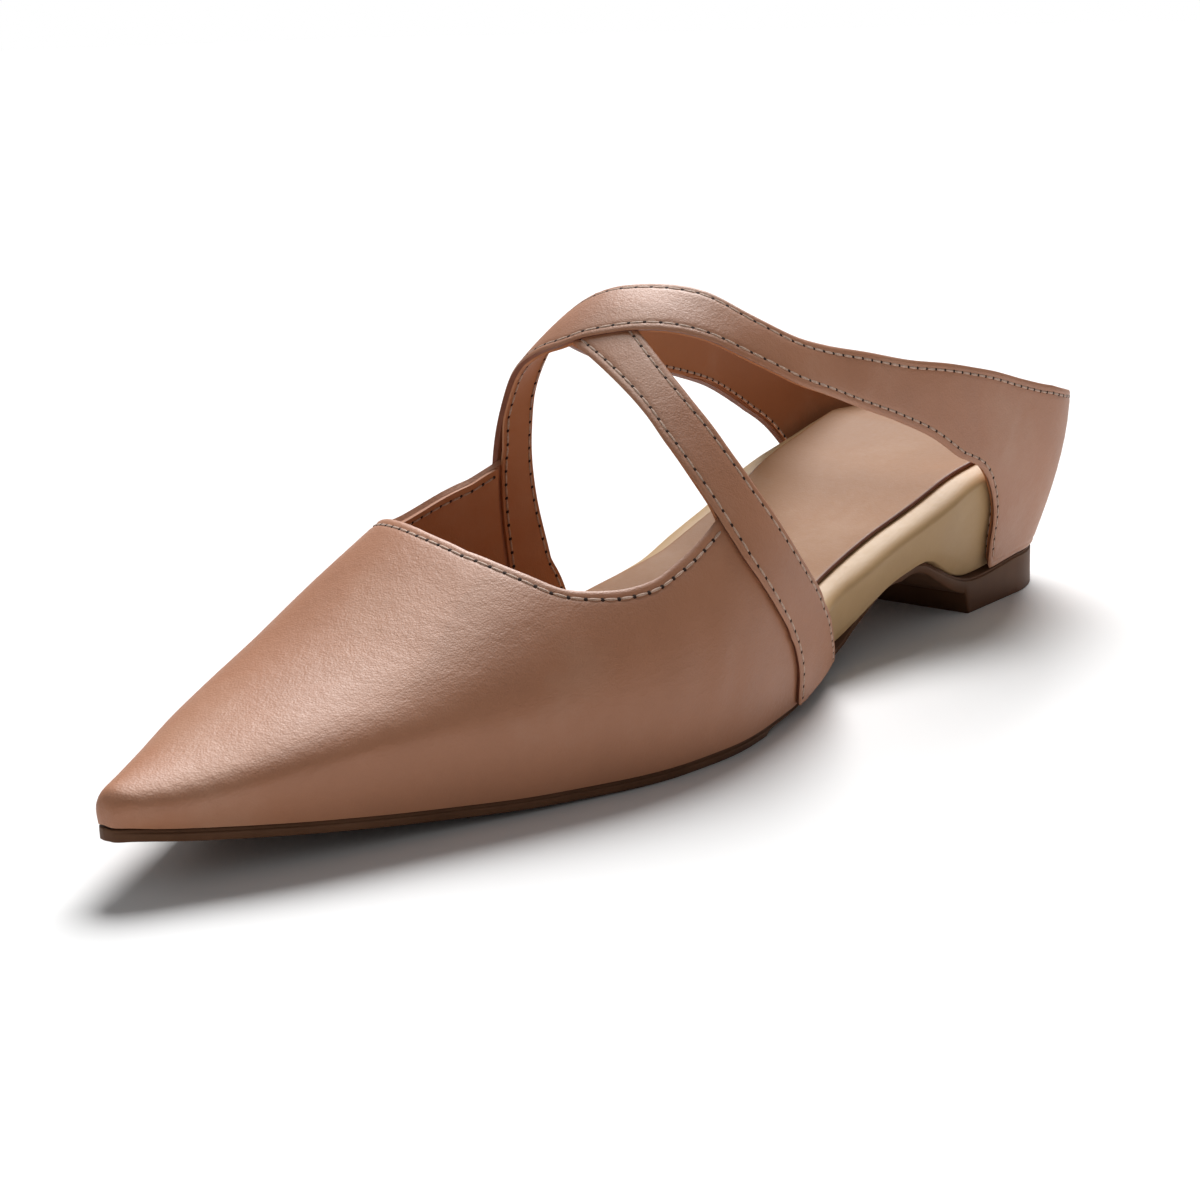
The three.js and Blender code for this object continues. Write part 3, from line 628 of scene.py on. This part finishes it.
beige_leather = smooth_leather("beige_leather", BEIGE, 0.012, 0.5, 0, 0.25)
wedge_at = spread(BACK_AT, 1 - (TOE_PUFF + BOARD_STOP) / LENGTH, WEDGE_STATIONS)
wedge = loft("covered_wedge", wedge_at, wedge_half, [beige_leather])
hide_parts("wedge")
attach(wedge, "root")


# Insole: a thin beige leather sock, cupped at the seat, with a painted dark brown edge.
# It is cemented on the wedge and lies inside the upper.
SOCK_STOP = 8
SOCK_EDGE = 0.4
SOCK_LIP = ((0.15, 0.25), (0.2, 0.5))
SOCK_SHARES = (0.03, 0.08, 0.16, 0.28, 0.42, 0.58, 0.78, 1)
INSOLE_STATIONS = 170
SOCK_BEIGE = (0.295, 0.137, 0.053)
EDGE_BROWN = (0.20, 0.080, 0.045)


def insole_half(at, side):
    top = rim_top(at)
    cup = SEAT_CUP * rim_rise(at)
    pull = (WALL + SIDE_GAP) * tuck["kept"](at) + SHOULDER_WIDTH * tuck["round"](at)
    low = top - SOCK

    def row(z, inward, shares):
        rim_point = side_point(at, side, -pull - inward, z)
        middle = mid_point(at, -pull - inward, z)
        return [rim_point] + cupped(rim_point, middle, cup, shares)

    lip = [side_point(at, side, out - pull, low + up) for out, up in SOCK_LIP]
    return row(low, 0, (0.5, 1))[::-1] + lip + row(top, SOCK_EDGE, SOCK_SHARES)


def paint(name, colour, roughness):
    """Edge paint: a plain satin colour with slight unevenness."""
    finish, tree, shader = new_finish(name, colour, roughness)
    clouds = pattern(tree, "ShaderNodeTexNoise", 300, Detail=4)
    tint_by(tree, shader, clouds.outputs["Fac"],
            [(0.3, mix_colour(colour, (0, 0, 0), 0.3)), (0.7, colour)])
    raise_by(tree, shader, clouds.outputs["Fac"], 0.06, 0.5)
    shader.inputs["Specular IOR Level"].default_value = 0.2
    return finish


sock_leather = smooth_leather("sock_leather", SOCK_BEIGE, 0.012, 0.55, 0, 0.12)
edge_paint = paint("edge_paint", EDGE_BROWN, 0.4)
insole_at = spread(BACK_AT, 1 - (TOE_PUFF + SOCK_STOP) / LENGTH, INSOLE_STATIONS)
insole = loft("insole_sock", insole_at, insole_half, [sock_leather, edge_paint])
for face in insole.data.polygons:
    if abs(face.normal.z) < 0.8:
        face.material_index = 1
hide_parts("insole")
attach(insole, "root")


# Vamp: fine-grained pink tan leather folded in at the throat, on an orange-brown lining.
# It is lasted over the toe and held between the outsole and the wedge.
LEATHER = 1.0
LINING = 0.65
LAYER_GAP = 0.05
VAMP_LINING_INSET = 0.35
LEATHER_ROUND = 0.3
LINING_ROUND = 0.15
CUT_ANGLE = 50
ROLL = 0.3
ROLL_WIDTH = 0.8
STITCH_INSET = 1.6
STITCH_DIP = 0.14
DIP_WIDTH = 0.5
PINK_TAN = (0.412, 0.174, 0.088)
ORANGE_BROWN = (0.46, 0.180, 0.075)
VAMP_COLUMNS = 260
EDGE_MARKS = (0, 0.25, 0.55, 0.9, 1.25, 1.6, 1.9, 2.2, 2.6, 3.3, 4.4, 6.0)
FOOT_MARKS = (0, 0.25, 0.6, 1.1, 1.8, 2.8, 4.2)
VAMP_ROWS = 34
TIP_AT = 0.9995

# The vamp's rear and throat edge from the sole to the throat's front: at, girth, and the
# place at the feather or the toe's tip that a line across the leather runs to.
THROAT_COLUMNS = ("at", "girth", "foot_at", "foot_girth")
THROAT_INNER = (
    (0.478, -1.000, 0.484, -1.00), (0.480, -0.830, 0.500, -1.00),
    (0.486, -0.700, 0.515, -1.00), (0.497, -0.598, 0.528, -1.00),
    (0.506, -0.504, 0.540, -1.00), (0.519, -0.488, 0.556, -1.00),
    (0.536, -0.487, 0.576, -1.00), (0.549, -0.485, 0.592, -1.00),
    (0.566, -0.474, 0.614, -1.00), (0.580, -0.464, 0.634, -1.00),
    (0.612, -0.441, 0.684, -1.00), (0.639, -0.410, 0.735, -1.00),
    (0.663, -0.352, 0.795, -1.00), (0.683, -0.262, 0.870, -1.00),
    (0.702, -0.128, 0.985, -1.00), (0.711, -0.030, 1.000, -1.00),
    (0.716, 0.050, 1.000, -0.50), (0.7185, 0.128, 1.000, 0.00),
)
THROAT_OUTER = (
    (0.458, 1.000, 0.462, 1.00), (0.471, 0.870, 0.480, 1.00),
    (0.477, 0.830, 0.490, 1.00), (0.480, 0.812, 0.497, 1.00),
    (0.486, 0.775, 0.508, 1.00), (0.497, 0.715, 0.524, 1.00),
    (0.506, 0.680, 0.536, 1.00), (0.519, 0.635, 0.554, 1.00),
    (0.536, 0.577, 0.576, 1.00), (0.549, 0.513, 0.594, 1.00),
    (0.557, 0.446, 0.606, 1.00), (0.566, 0.438, 0.618, 1.00),
    (0.580, 0.440, 0.636, 1.00), (0.612, 0.446, 0.684, 1.00),
    (0.639, 0.447, 0.735, 1.00), (0.663, 0.432, 0.795, 1.00),
    (0.683, 0.402, 0.870, 1.00), (0.702, 0.350, 0.985, 1.00),
    (0.711, 0.275, 1.000, 1.00), (0.716, 0.205, 1.000, 0.50),
    (0.7185, 0.128, 1.000, 0.00),
)

# The lining ends at the straps' front edges, where the straps' own linings begin.
LINING_INNER = (
    (0.507, -1.000, 0.512, -1.00), (0.507, -0.840, 0.522, -1.00),
    (0.509, -0.700, 0.534, -1.00), (0.516, -0.600, 0.547, -1.00),
    (0.522, -0.530, 0.556, -1.00), (0.526, -0.490, 0.564, -1.00),
) + THROAT_INNER[6:]
LINING_OUTER = (
    (0.496, 1.000, 0.500, 1.00), (0.501, 0.955, 0.512, 1.00),
    (0.507, 0.870, 0.522, 1.00), (0.518, 0.775, 0.540, 1.00),
    (0.528, 0.702, 0.556, 1.00), (0.547, 0.638, 0.580, 1.00),
    (0.563, 0.578, 0.602, 1.00), (0.574, 0.514, 0.618, 1.00),
    (0.578, 0.455, 0.630, 1.00),
) + THROAT_OUTER[12:]


def even_rows(curve, first, last, count=None, pitch=None, samples=240):
    """Row numbers at even distances along a curve of points, count of them or a pitch
    apart."""
    rows = spread(first, last, samples)
    points = [curve(row) for row in rows]
    lengths = [0]
    for before, after in zip(points, points[1:]):
        lengths.append(lengths[-1] + (after - before).length)
    find = smooth_curve([length + i * 1e-9 for i, length in enumerate(lengths)], rows)
    count = count or round(lengths[-1] / pitch) + 1
    return [find(length) for length in spread(0, lengths[-1], count)]


def throat_path(inner_rows, outer_rows):
    """A throat's four values by row, from the inner sole over the front to the outer sole,
    and its last row."""
    inner = curves(THROAT_COLUMNS, inner_rows, over_rows=True)
    outer = curves(THROAT_COLUMNS, outer_rows, over_rows=True)
    front = len(inner_rows) - 1
    end = front + len(outer_rows) - 1

    def values(row):
        side = inner if row <= front else outer
        here = row if row <= front else end - row
        return [side[name](here) for name in THROAT_COLUMNS]

    return values, end


throat, THROAT_END = throat_path(THROAT_INNER, THROAT_OUTER)


def edge_shape(distance):
    """How far leather lies below its plain surface at a distance from a stitched edge:
    it rolls over at the edge and dips along the stitches."""
    roll = ROLL * max(0, 1 - distance / ROLL_WIDTH) ** 2
    dip = STITCH_DIP * math.exp(-((distance - STITCH_INSET) / DIP_WIDTH) ** 2)
    return roll + dip


# Soft creases and hollows of the vamp. at, girth: middle. run, across: half sizes in
# millimetres. turn: degrees from straight across. depth: millimetres, under zero a ridge.
CREASES = (
    (0.600, 0.72, 9.0, 2.6, 12, 0.22),
    (0.632, 0.66, 12.0, 3.2, 20, 0.20),
    (0.616, 0.69, 10.0, 2.6, 15, -0.14),
    (0.575, 0.60, 7.0, 2.4, 5, 0.16),
    (0.668, 0.60, 12.0, 4.0, 24, 0.12),
    (0.600, -0.70, 10.0, 2.8, -12, 0.20),
    (0.640, -0.64, 12.0, 3.4, -20, 0.18),
    (0.760, 0.10, 14.0, 6.0, 0, 0.15),
)
crease_places = [(last_point(row[0], row[1]), row) for row in CREASES]


def crease_depth(point):
    """How far the creases sink the leather at a point. Beyond three runs they are flat."""
    depth = 0
    for middle, (_, _, run, across, turned, deep) in crease_places:
        offset = point - middle
        if offset.length_squared > 9 * run * run:
            continue
        along = math.radians(turned)
        slide = offset.x * math.cos(along) + offset.z * math.sin(along)
        climb = math.hypot(offset.y, offset.z * math.cos(along) - offset.x * math.sin(along))
        depth += deep * math.exp(-(slide / across) ** 2 - (climb / run) ** 2)
    return depth


def vamp_line(edge, row):
    """Shares across the leather at this line, close together at its edge, and its width."""
    at, girth, foot_at, foot_girth = edge(row)
    steps = [last_point(at + (foot_at - at) * share, girth + (foot_girth - girth) * share)
             for share in spread(0, 1, 12)]
    width = sum((b - a).length for a, b in zip(steps, steps[1:]))
    shrink = min(1, width * 0.45 / EDGE_MARKS[-1])
    near = [mark * shrink for mark in EDGE_MARKS]
    foot = [width - mark * shrink for mark in reversed(FOOT_MARKS)]
    middle = spread(near[-1], foot[0], VAMP_ROWS - len(near) - len(foot) + 2)[1:-1]
    return [mark / width for mark in near + middle + foot], width


def lay_vamp(name, edge, end, finishes, off=0, inset=0):
    """A sheet from a throat's edge to the sole and the toe's tip. The leather, with no
    inset, takes the edge's shape and the creases."""
    rows = even_rows(lambda row: last_point(*edge(row)[:2]), 0, end, VAMP_COLUMNS,
                     samples=600)
    lines = [vamp_line(edge, row) for row in rows]

    def place(i, j):
        at, girth, foot_at, foot_girth = edge(rows[i])
        shares, width = lines[i]
        share = shares[j]
        if inset:
            share += (1 - share) * min(inset / max(width, inset * 2), 0.5)
        at += (foot_at - at) * share
        girth += (foot_girth - girth) * share
        if at > TIP_AT:
            at, girth = 1, 0
        lowered = 0
        if not inset:
            lowered = edge_shape(share * width) + crease_depth(last_point(at, girth))
        point = off_last(at, max(-1, min(1, girth)), off - lowered)
        point.z = max(point.z, feather_z(at))
        return point

    return lay_grid(name, VAMP_COLUMNS, VAMP_ROWS, place, finishes)


def thicken(piece, thickness, rim=0):
    """Gives a sheet its thickness, inward. rim: the finish of its cut edges."""
    wall = piece.modifiers.new("thickness", "SOLIDIFY")
    wall.thickness = thickness * MM
    wall.offset = -1
    wall.use_even_offset = False
    wall.material_offset_rim = rim


def round_edges(piece, width):
    """Rounds the cut edges of a sheet that has its thickness."""
    bevel = piece.modifiers.new("round_edges", "BEVEL")
    bevel.width = width * MM
    bevel.segments = 2
    bevel.limit_method = "ANGLE"
    bevel.angle_limit = math.radians(CUT_ANGLE)
    bevel.harden_normals = True


def face_outward(piece, place):
    """Turns the sheet over if its faces look away from the given direction at a point."""
    point, outward = place
    target = (point - Vector((HEEL_LENGTH / 2, 0, 0))) * MM
    nearest = min(piece.data.polygons, key=lambda face: (face.center - target).length_squared)
    if nearest.normal.dot(outward) < 0:
        piece.data.flip_normals()


TOP_OF_VAMP = (last_point(0.80, 0.2), last_normal(0.80, 0.2))
tan_leather = smooth_leather("pink_tan_leather", PINK_TAN, 0.035, 0.5, 0.05, 0.5)
lining_leather = smooth_leather("orange_brown_lining", ORANGE_BROWN, 0.02, 0.6, 0)
vamp = lay_vamp("vamp_leather", throat, THROAT_END, [tan_leather])
face_outward(vamp, TOP_OF_VAMP)
thicken(vamp, LEATHER)
round_edges(vamp, LEATHER_ROUND)
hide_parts("upper")
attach(vamp, "root")

vamp_lining = lay_vamp("vamp_lining", *throat_path(LINING_INNER, LINING_OUTER),
                       [lining_leather], -LEATHER - LAYER_GAP, VAMP_LINING_INSET)
face_outward(vamp_lining, TOP_OF_VAMP)
thicken(vamp_lining, LINING)
round_edges(vamp_lining, LINING_ROUND)
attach(vamp_lining, "root")


# Straps and counter: each strap is one piece of the same leather with its half of the
# counter, lined, with burnished edges. Both are stitched over the vamp and meet in a seam
# at the centre back. The strap from the inner ball to the outer heel lies on top.
STRAP_STEP = 1.05
STRAP_STATIONS = 250
STRAP_EDGE = 3.3
CROWN = 0.125
COUNTER_WIDTH = 25
LINING_FADE = 0.8
LINING_INSET = 0.6
COUNTER_INSET = 0.72
COUNTER_ROW = 21
BURNISHED = (0.28, 0.115, 0.070)

# From the ball to the centre back. low: a point of the lower or front edge. top: of the
# upper or rear edge. lift: in strap steps over the last.
STRAP_COLUMNS = ("low_at", "low_girth", "top_at", "top_girth", "lift")
OVER_STRAP = (
    (0.506, -1.000, 0.449, -1.000, 1.0), (0.506, -0.840, 0.454, -0.815, 1.0),
    (0.508, -0.700, 0.464, -0.700, 1.0), (0.515, -0.600, 0.479, -0.583, 1.0),
    (0.523, -0.506, 0.489, -0.495, 1.0), (0.528, -0.432, 0.496, -0.417, 1.0),
    (0.533, -0.352, 0.501, -0.339, 1.05), (0.543, -0.251, 0.504, -0.239, 1.15),
    (0.552, -0.155, 0.506, -0.155, 1.4), (0.554, -0.065, 0.503, -0.070, 1.7),
    (0.545, 0.022, 0.498, 0.000, 1.9), (0.525, 0.135, 0.489, 0.069, 1.9),
    (0.506, 0.224, 0.477, 0.142, 1.8), (0.485, 0.305, 0.462, 0.236, 1.3),
    (0.452, 0.390, 0.435, 0.323, 0.9), (0.414, 0.455, 0.399, 0.388, 0.6),
    (0.371, 0.521, 0.354, 0.446, 0.4), (0.323, 0.584, 0.304, 0.502, 0.2),
    (0.281, 0.640, 0.253, 0.546, 0.1), (0.241, 0.705, 0.203, 0.591, 0.0),
    (0.206, 0.760, 0.165, 0.626, 0.0), (0.184, 0.820, 0.135, 0.650, 0.0),
    (0.168, 0.885, 0.110, 0.669, 0.0), (0.158, 0.950, 0.087, 0.684, 0.0),
    (0.142, 1.000, 0.067, 0.694, 0.0), (0.112, 1.000, 0.046, 0.703, 0.0),
    (0.066, 1.000, 0.015, 0.714, 0.0), (0.022, 1.000, -0.015, 0.722, 0.0),
    (-0.028, 1.000, -0.048, 0.728, 0.0), (BACK_AT, 1.000, BACK_AT, 0.730, 0.0),
)
UNDER_STRAP = (
    (0.495, 1.000, 0.405, 1.000, 1.0), (0.500, 0.955, 0.415, 0.955, 1.0),
    (0.506, 0.870, 0.437, 0.860, 1.0), (0.516, 0.775, 0.453, 0.765, 1.0),
    (0.526, 0.702, 0.468, 0.690, 1.0), (0.546, 0.638, 0.490, 0.633, 1.0),
    (0.562, 0.578, 0.509, 0.578, 1.0), (0.574, 0.514, 0.526, 0.512, 1.0),
    (0.580, 0.444, 0.538, 0.442, 1.0), (0.582, 0.364, 0.544, 0.362, 1.0),
    (0.580, 0.283, 0.545, 0.290, 1.0), (0.574, 0.205, 0.543, 0.227, 1.0),
    (0.566, 0.115, 0.538, 0.168, 1.0), (0.555, 0.022, 0.530, 0.105, 1.0),
    (0.542, -0.065, 0.519, 0.030, 1.0), (0.525, -0.155, 0.504, -0.055, 0.9),
    (0.504, -0.239, 0.485, -0.138, 0.8), (0.477, -0.318, 0.460, -0.217, 0.6),
    (0.443, -0.388, 0.428, -0.293, 0.5), (0.403, -0.450, 0.388, -0.360, 0.4),
    (0.359, -0.505, 0.344, -0.417, 0.3), (0.314, -0.556, 0.298, -0.467, 0.2),
    (0.268, -0.608, 0.250, -0.508, 0.1), (0.229, -0.660, 0.203, -0.550, 0.0),
    (0.194, -0.712, 0.162, -0.584, 0.0), (0.165, -0.765, 0.127, -0.617, 0.0),
    (0.144, -0.820, 0.098, -0.643, 0.0), (0.129, -0.880, 0.074, -0.662, 0.0),
    (0.121, -0.945, 0.053, -0.676, 0.0), (0.106, -1.000, 0.034, -0.694, 0.0),
    (0.065, -1.000, 0.012, -0.709, 0.0), (0.022, -1.000, -0.015, -0.719, 0.0),
    (-0.028, -1.000, -0.048, -0.727, 0.0), (BACK_AT, -1.000, BACK_AT, -0.730, 0.0),
)


def strap_point(strap, row, share, inward=0):
    """A point across a strap at a row, from its low edge at 0 to its top edge at 1."""
    low_at, low_girth = strap["low_at"](row), strap["low_girth"](row)
    at = low_at + (strap["top_at"](row) - low_at) * share
    girth = low_girth + (strap["top_girth"](row) - low_girth) * share
    girth = max(-1, min(1, girth))
    point = off_last(at, girth, STRAP_STEP * strap["lift"](row) - inward)
    point.z = max(point.z, feather_z(at))
    return point


def measure_width(strap, row):
    points = [strap_point(strap, row, share) for share in spread(0, 1, 7)]
    return sum((b - a).length for a, b in zip(points, points[1:]))


def across_shares(width):
    """Shares across a strap, close together at both edges."""
    marks = [mark * min(1, width * 0.3 / STRAP_EDGE)
             for mark in EDGE_MARKS if mark <= STRAP_EDGE]
    middle = spread(marks[-1], width - marks[-1], 9)[1:-1]
    full = marks + middle + [width - mark for mark in reversed(marks)]
    return [mark / width for mark in full]


def lining_drop(strap, row, share):
    """How far a strap's lining sinks to pass under the vamp's leather."""
    under = min(max((strap["vamp_row"] - row) / LINING_FADE, 0), 1)
    return STRAP_STEP * strap["lift"](row) * under * (1 - share ** 4)


def make_strap(name, rows_table, facing, vamp_row):
    """The leather and the lining of one strap with its half of the counter. The lining is
    set back further on the counter. Up to vamp_row its front edge goes under the vamp."""
    strap = curves(STRAP_COLUMNS, rows_table, over_rows=True)
    last_row = len(rows_table) - 1
    halves = spread(0, last_row, 2 * last_row + 1)
    strap["width"] = smooth_curve(halves, [measure_width(strap, row) for row in halves])
    strap["vamp_row"] = vamp_row
    rows = even_rows(lambda row: strap_point(strap, row, 0.5), 0, last_row,
                     STRAP_STATIONS)
    lines = [(across_shares(strap["width"](row)), strap["width"](row)) for row in rows]

    def leather_place(i, j):
        shares, width = lines[i]
        share = shares[j]
        near = min(share, 1 - share) * width
        crown = CROWN * math.sin(share * math.pi) if width < COUNTER_WIDTH else 0
        return strap_point(strap, rows[i], share, edge_shape(near) - crown)

    def lining_place(i, j):
        shares, width = lines[i]
        inset = LINING_INSET + min(max(rows[i] - COUNTER_ROW, 0) * LINING_INSET, COUNTER_INSET)
        share = inset / width + shares[j] * (1 - (inset + LINING_INSET) / width)
        return strap_point(strap, rows[i], share,
                           LEATHER + LAYER_GAP + lining_drop(strap, rows[i], share))

    across = len(lines[0][0])
    leather = lay_grid(name, STRAP_STATIONS, across, leather_place,
                       [tan_leather, burnished_edge])
    face_outward(leather, facing)
    thicken(leather, LEATHER, rim=1)
    round_edges(leather, LEATHER_ROUND)
    lining = lay_grid(name + "_lining", STRAP_STATIONS, across, lining_place,
                      [lining_leather])
    face_outward(lining, facing)
    thicken(lining, LINING)
    round_edges(lining, LINING_ROUND)
    for piece in (leather, lining):
        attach(piece, "root")
    return strap


burnished_edge = paint("burnished_edge", BURNISHED, 0.5)
inner_heel = (last_point(0.1, -0.85), last_normal(0.1, -0.85))
outer_heel = (last_point(0.1, 0.85), last_normal(0.1, 0.85))
under_strap = make_strap("under_strap", UNDER_STRAP, inner_heel, vamp_row=8.4)
over_strap = make_strap("over_strap", OVER_STRAP, outer_heel, vamp_row=5.4)


# Stitching: one row of tan thread along each edge of both straps, round the counter and
# along the throat, locked at needle holes that are not cut: each is a dark bead of painted shade.
# It shows on the lining too.
STITCH_PITCH = 3.0
THREAD_WIDTH = 0.52
THREAD_HEIGHT = 0.32
THREAD_LIFT = 0.05
HOLE_WIDTH = 0.8
HOLE_DEPTH = 0.22
HOLE_GAP = 0.45
SEAM_DEPTH = STITCH_DIP - 0.04
LINING_SEAM_DEPTH = LEATHER + LINING + 0.08
THREAD_TAN = (0.54, 0.35, 0.25)
# painted shade: the needle holes are dark beads in this colour, not holes cut into the leather
HOLE_SHADE_BROWN = (0.035, 0.015, 0.010)

thread_finish, tree, shader = new_finish("tan_thread", THREAD_TAN, 0.6)
twist = pattern(tree, "ShaderNodeTexNoise", 2200, Detail=2)
tint_by(tree, shader, twist.outputs["Fac"],
        [(0.35, mix_colour(THREAD_TAN, (0.1, 0.05, 0.03), 0.35)), (0.6, THREAD_TAN)])
raise_by(tree, shader, twist.outputs["Fac"], 0.08, 0.8)
shader.inputs["Sheen Weight"].default_value = 0.2
# finish of the needle holes' beads: painted shade as a plain dark satin colour
hole_shade_finish = paint("needle_hole_shade", HOLE_SHADE_BROWN, 0.8)


def make_bead(finish_number):
    """A ball 1 across with its poles along x, which becomes a stitch or the dark bead of painted
    shade that stands for a needle hole.
    """
    bead = bmesh.new()
    bmesh.ops.create_uvsphere(bead, u_segments=8, v_segments=6, radius=0.5,
                              matrix=Matrix.Rotation(math.pi / 2, 4, "Y"))
    for face in bead.faces:
        face.material_index = finish_number
        face.smooth = True
    mesh = bpy.data.meshes.new("bead")
    bead.to_mesh(mesh)
    bead.free()
    return mesh


thread_bead = make_bead(0)
hole_shade_bead = make_bead(1)


def bead_place(middle, along, outward, size):
    """Where a bead goes: its size along the seam, across it and outward, in millimetres."""
    beside = outward.cross(along).normalized()
    turned = Matrix((along, beside, along.cross(beside))).transposed().to_4x4()
    centre = (middle - Vector((HEEL_LENGTH / 2, 0, 0))) * MM
    return Matrix.Translation(centre) @ turned @ Matrix.Diagonal((*(Vector(size) * MM), 1))


def sew(name, line, first, last):
    """Stitches, and dark beads of painted shade for the needle holes, at an even pitch along a
    line of (point, outward) pairs.
    """
    rows = even_rows(lambda row: line(row)[0], first, last, pitch=STITCH_PITCH)
    marks = [line(row) for row in rows]
    seam = bmesh.new()
    for (point, outward), (following, _) in zip(marks, marks[1:]):
        step = following - point
        along = step.normalized()
        middle = (point + following) / 2 + outward * THREAD_LIFT
        hole_shade = bead_place(point, along, outward, (HOLE_WIDTH, HOLE_WIDTH, HOLE_DEPTH))
        thread = bead_place(middle, along, outward,
                            (step.length - HOLE_GAP, THREAD_WIDTH, THREAD_HEIGHT))
        for bead, place in ((hole_shade_bead, hole_shade), (thread_bead, thread)):
            before = len(seam.verts)
            seam.from_mesh(bead)
            seam.verts.ensure_lookup_table()
            bmesh.ops.transform(seam, matrix=place, verts=seam.verts[before:])
    mesh = bpy.data.meshes.new(name)
    seam.to_mesh(mesh)
    seam.free()
    mesh.materials.append(thread_finish)
    mesh.materials.append(hole_shade_finish)
    piece = bpy.data.objects.new(name, mesh)
    bpy.context.collection.objects.link(piece)
    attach(piece, "root")


def strap_seam(strap, low, inner):
    """The line of stitches beside one edge of a strap, outside or on its lining."""
    def line(row):
        share = STITCH_INSET / strap["width"](row)
        share = share if low else 1 - share
        depth = SEAM_DEPTH
        if inner:
            depth = LINING_SEAM_DEPTH + lining_drop(strap, row, share)
        point = strap_point(strap, row, share, depth)
        across = strap_point(strap, row, share + 0.01) - strap_point(strap, row, share - 0.01)
        along = strap_point(strap, row + 0.05, share) - strap_point(strap, row - 0.05, share)
        outward = along.cross(across).normalized()
        away = point - Vector((point.x, 0, 25))
        if (outward.dot(away) < 0) != inner:
            outward = -outward
        return point, outward
    return line


def throat_seam(inner):
    """The line of stitches along the vamp's throat, outside or on its lining."""
    def line(row):
        at, girth, foot_at, foot_girth = throat(row)
        width = vamp_line(throat, row)[1]
        share = STITCH_INSET / width
        at += (foot_at - at) * share
        girth += (foot_girth - girth) * share
        outward = last_normal(at, girth)
        depth = LINING_SEAM_DEPTH if inner else SEAM_DEPTH
        return last_point(at, girth) - outward * depth, -outward if inner else outward
    return line


# The rows at which each line of stitches starts and stops. The front lines stop at the
# sole, the top lines at the centre back, and the throat's line at the two straps.
STRAP_SEAM_START = 0.7
STRAP_SEAM_STOPS = (
    ("under_strap", under_strap, 28.6, len(UNDER_STRAP) - 1.02),
    ("over_strap", over_strap, 23.6, len(OVER_STRAP) - 1.02),
)
THROAT_SEAM = (5.5, THROAT_END - 11.9)

for name, strap, foot_row, back_row in STRAP_SEAM_STOPS:
    for inner in (False, True):
        where = "_lining" if inner else ""
        sew(name + "_front_stitches" + where, strap_seam(strap, True, inner),
            STRAP_SEAM_START, foot_row)
        sew(name + "_top_stitches" + where, strap_seam(strap, False, inner),
            STRAP_SEAM_START, back_row)
for inner in (False, True):
    sew("throat_stitches" + ("_lining" if inner else ""), throat_seam(inner), *THROAT_SEAM)
bpy.data.meshes.remove(thread_bead)
bpy.data.meshes.remove(hole_shade_bead)
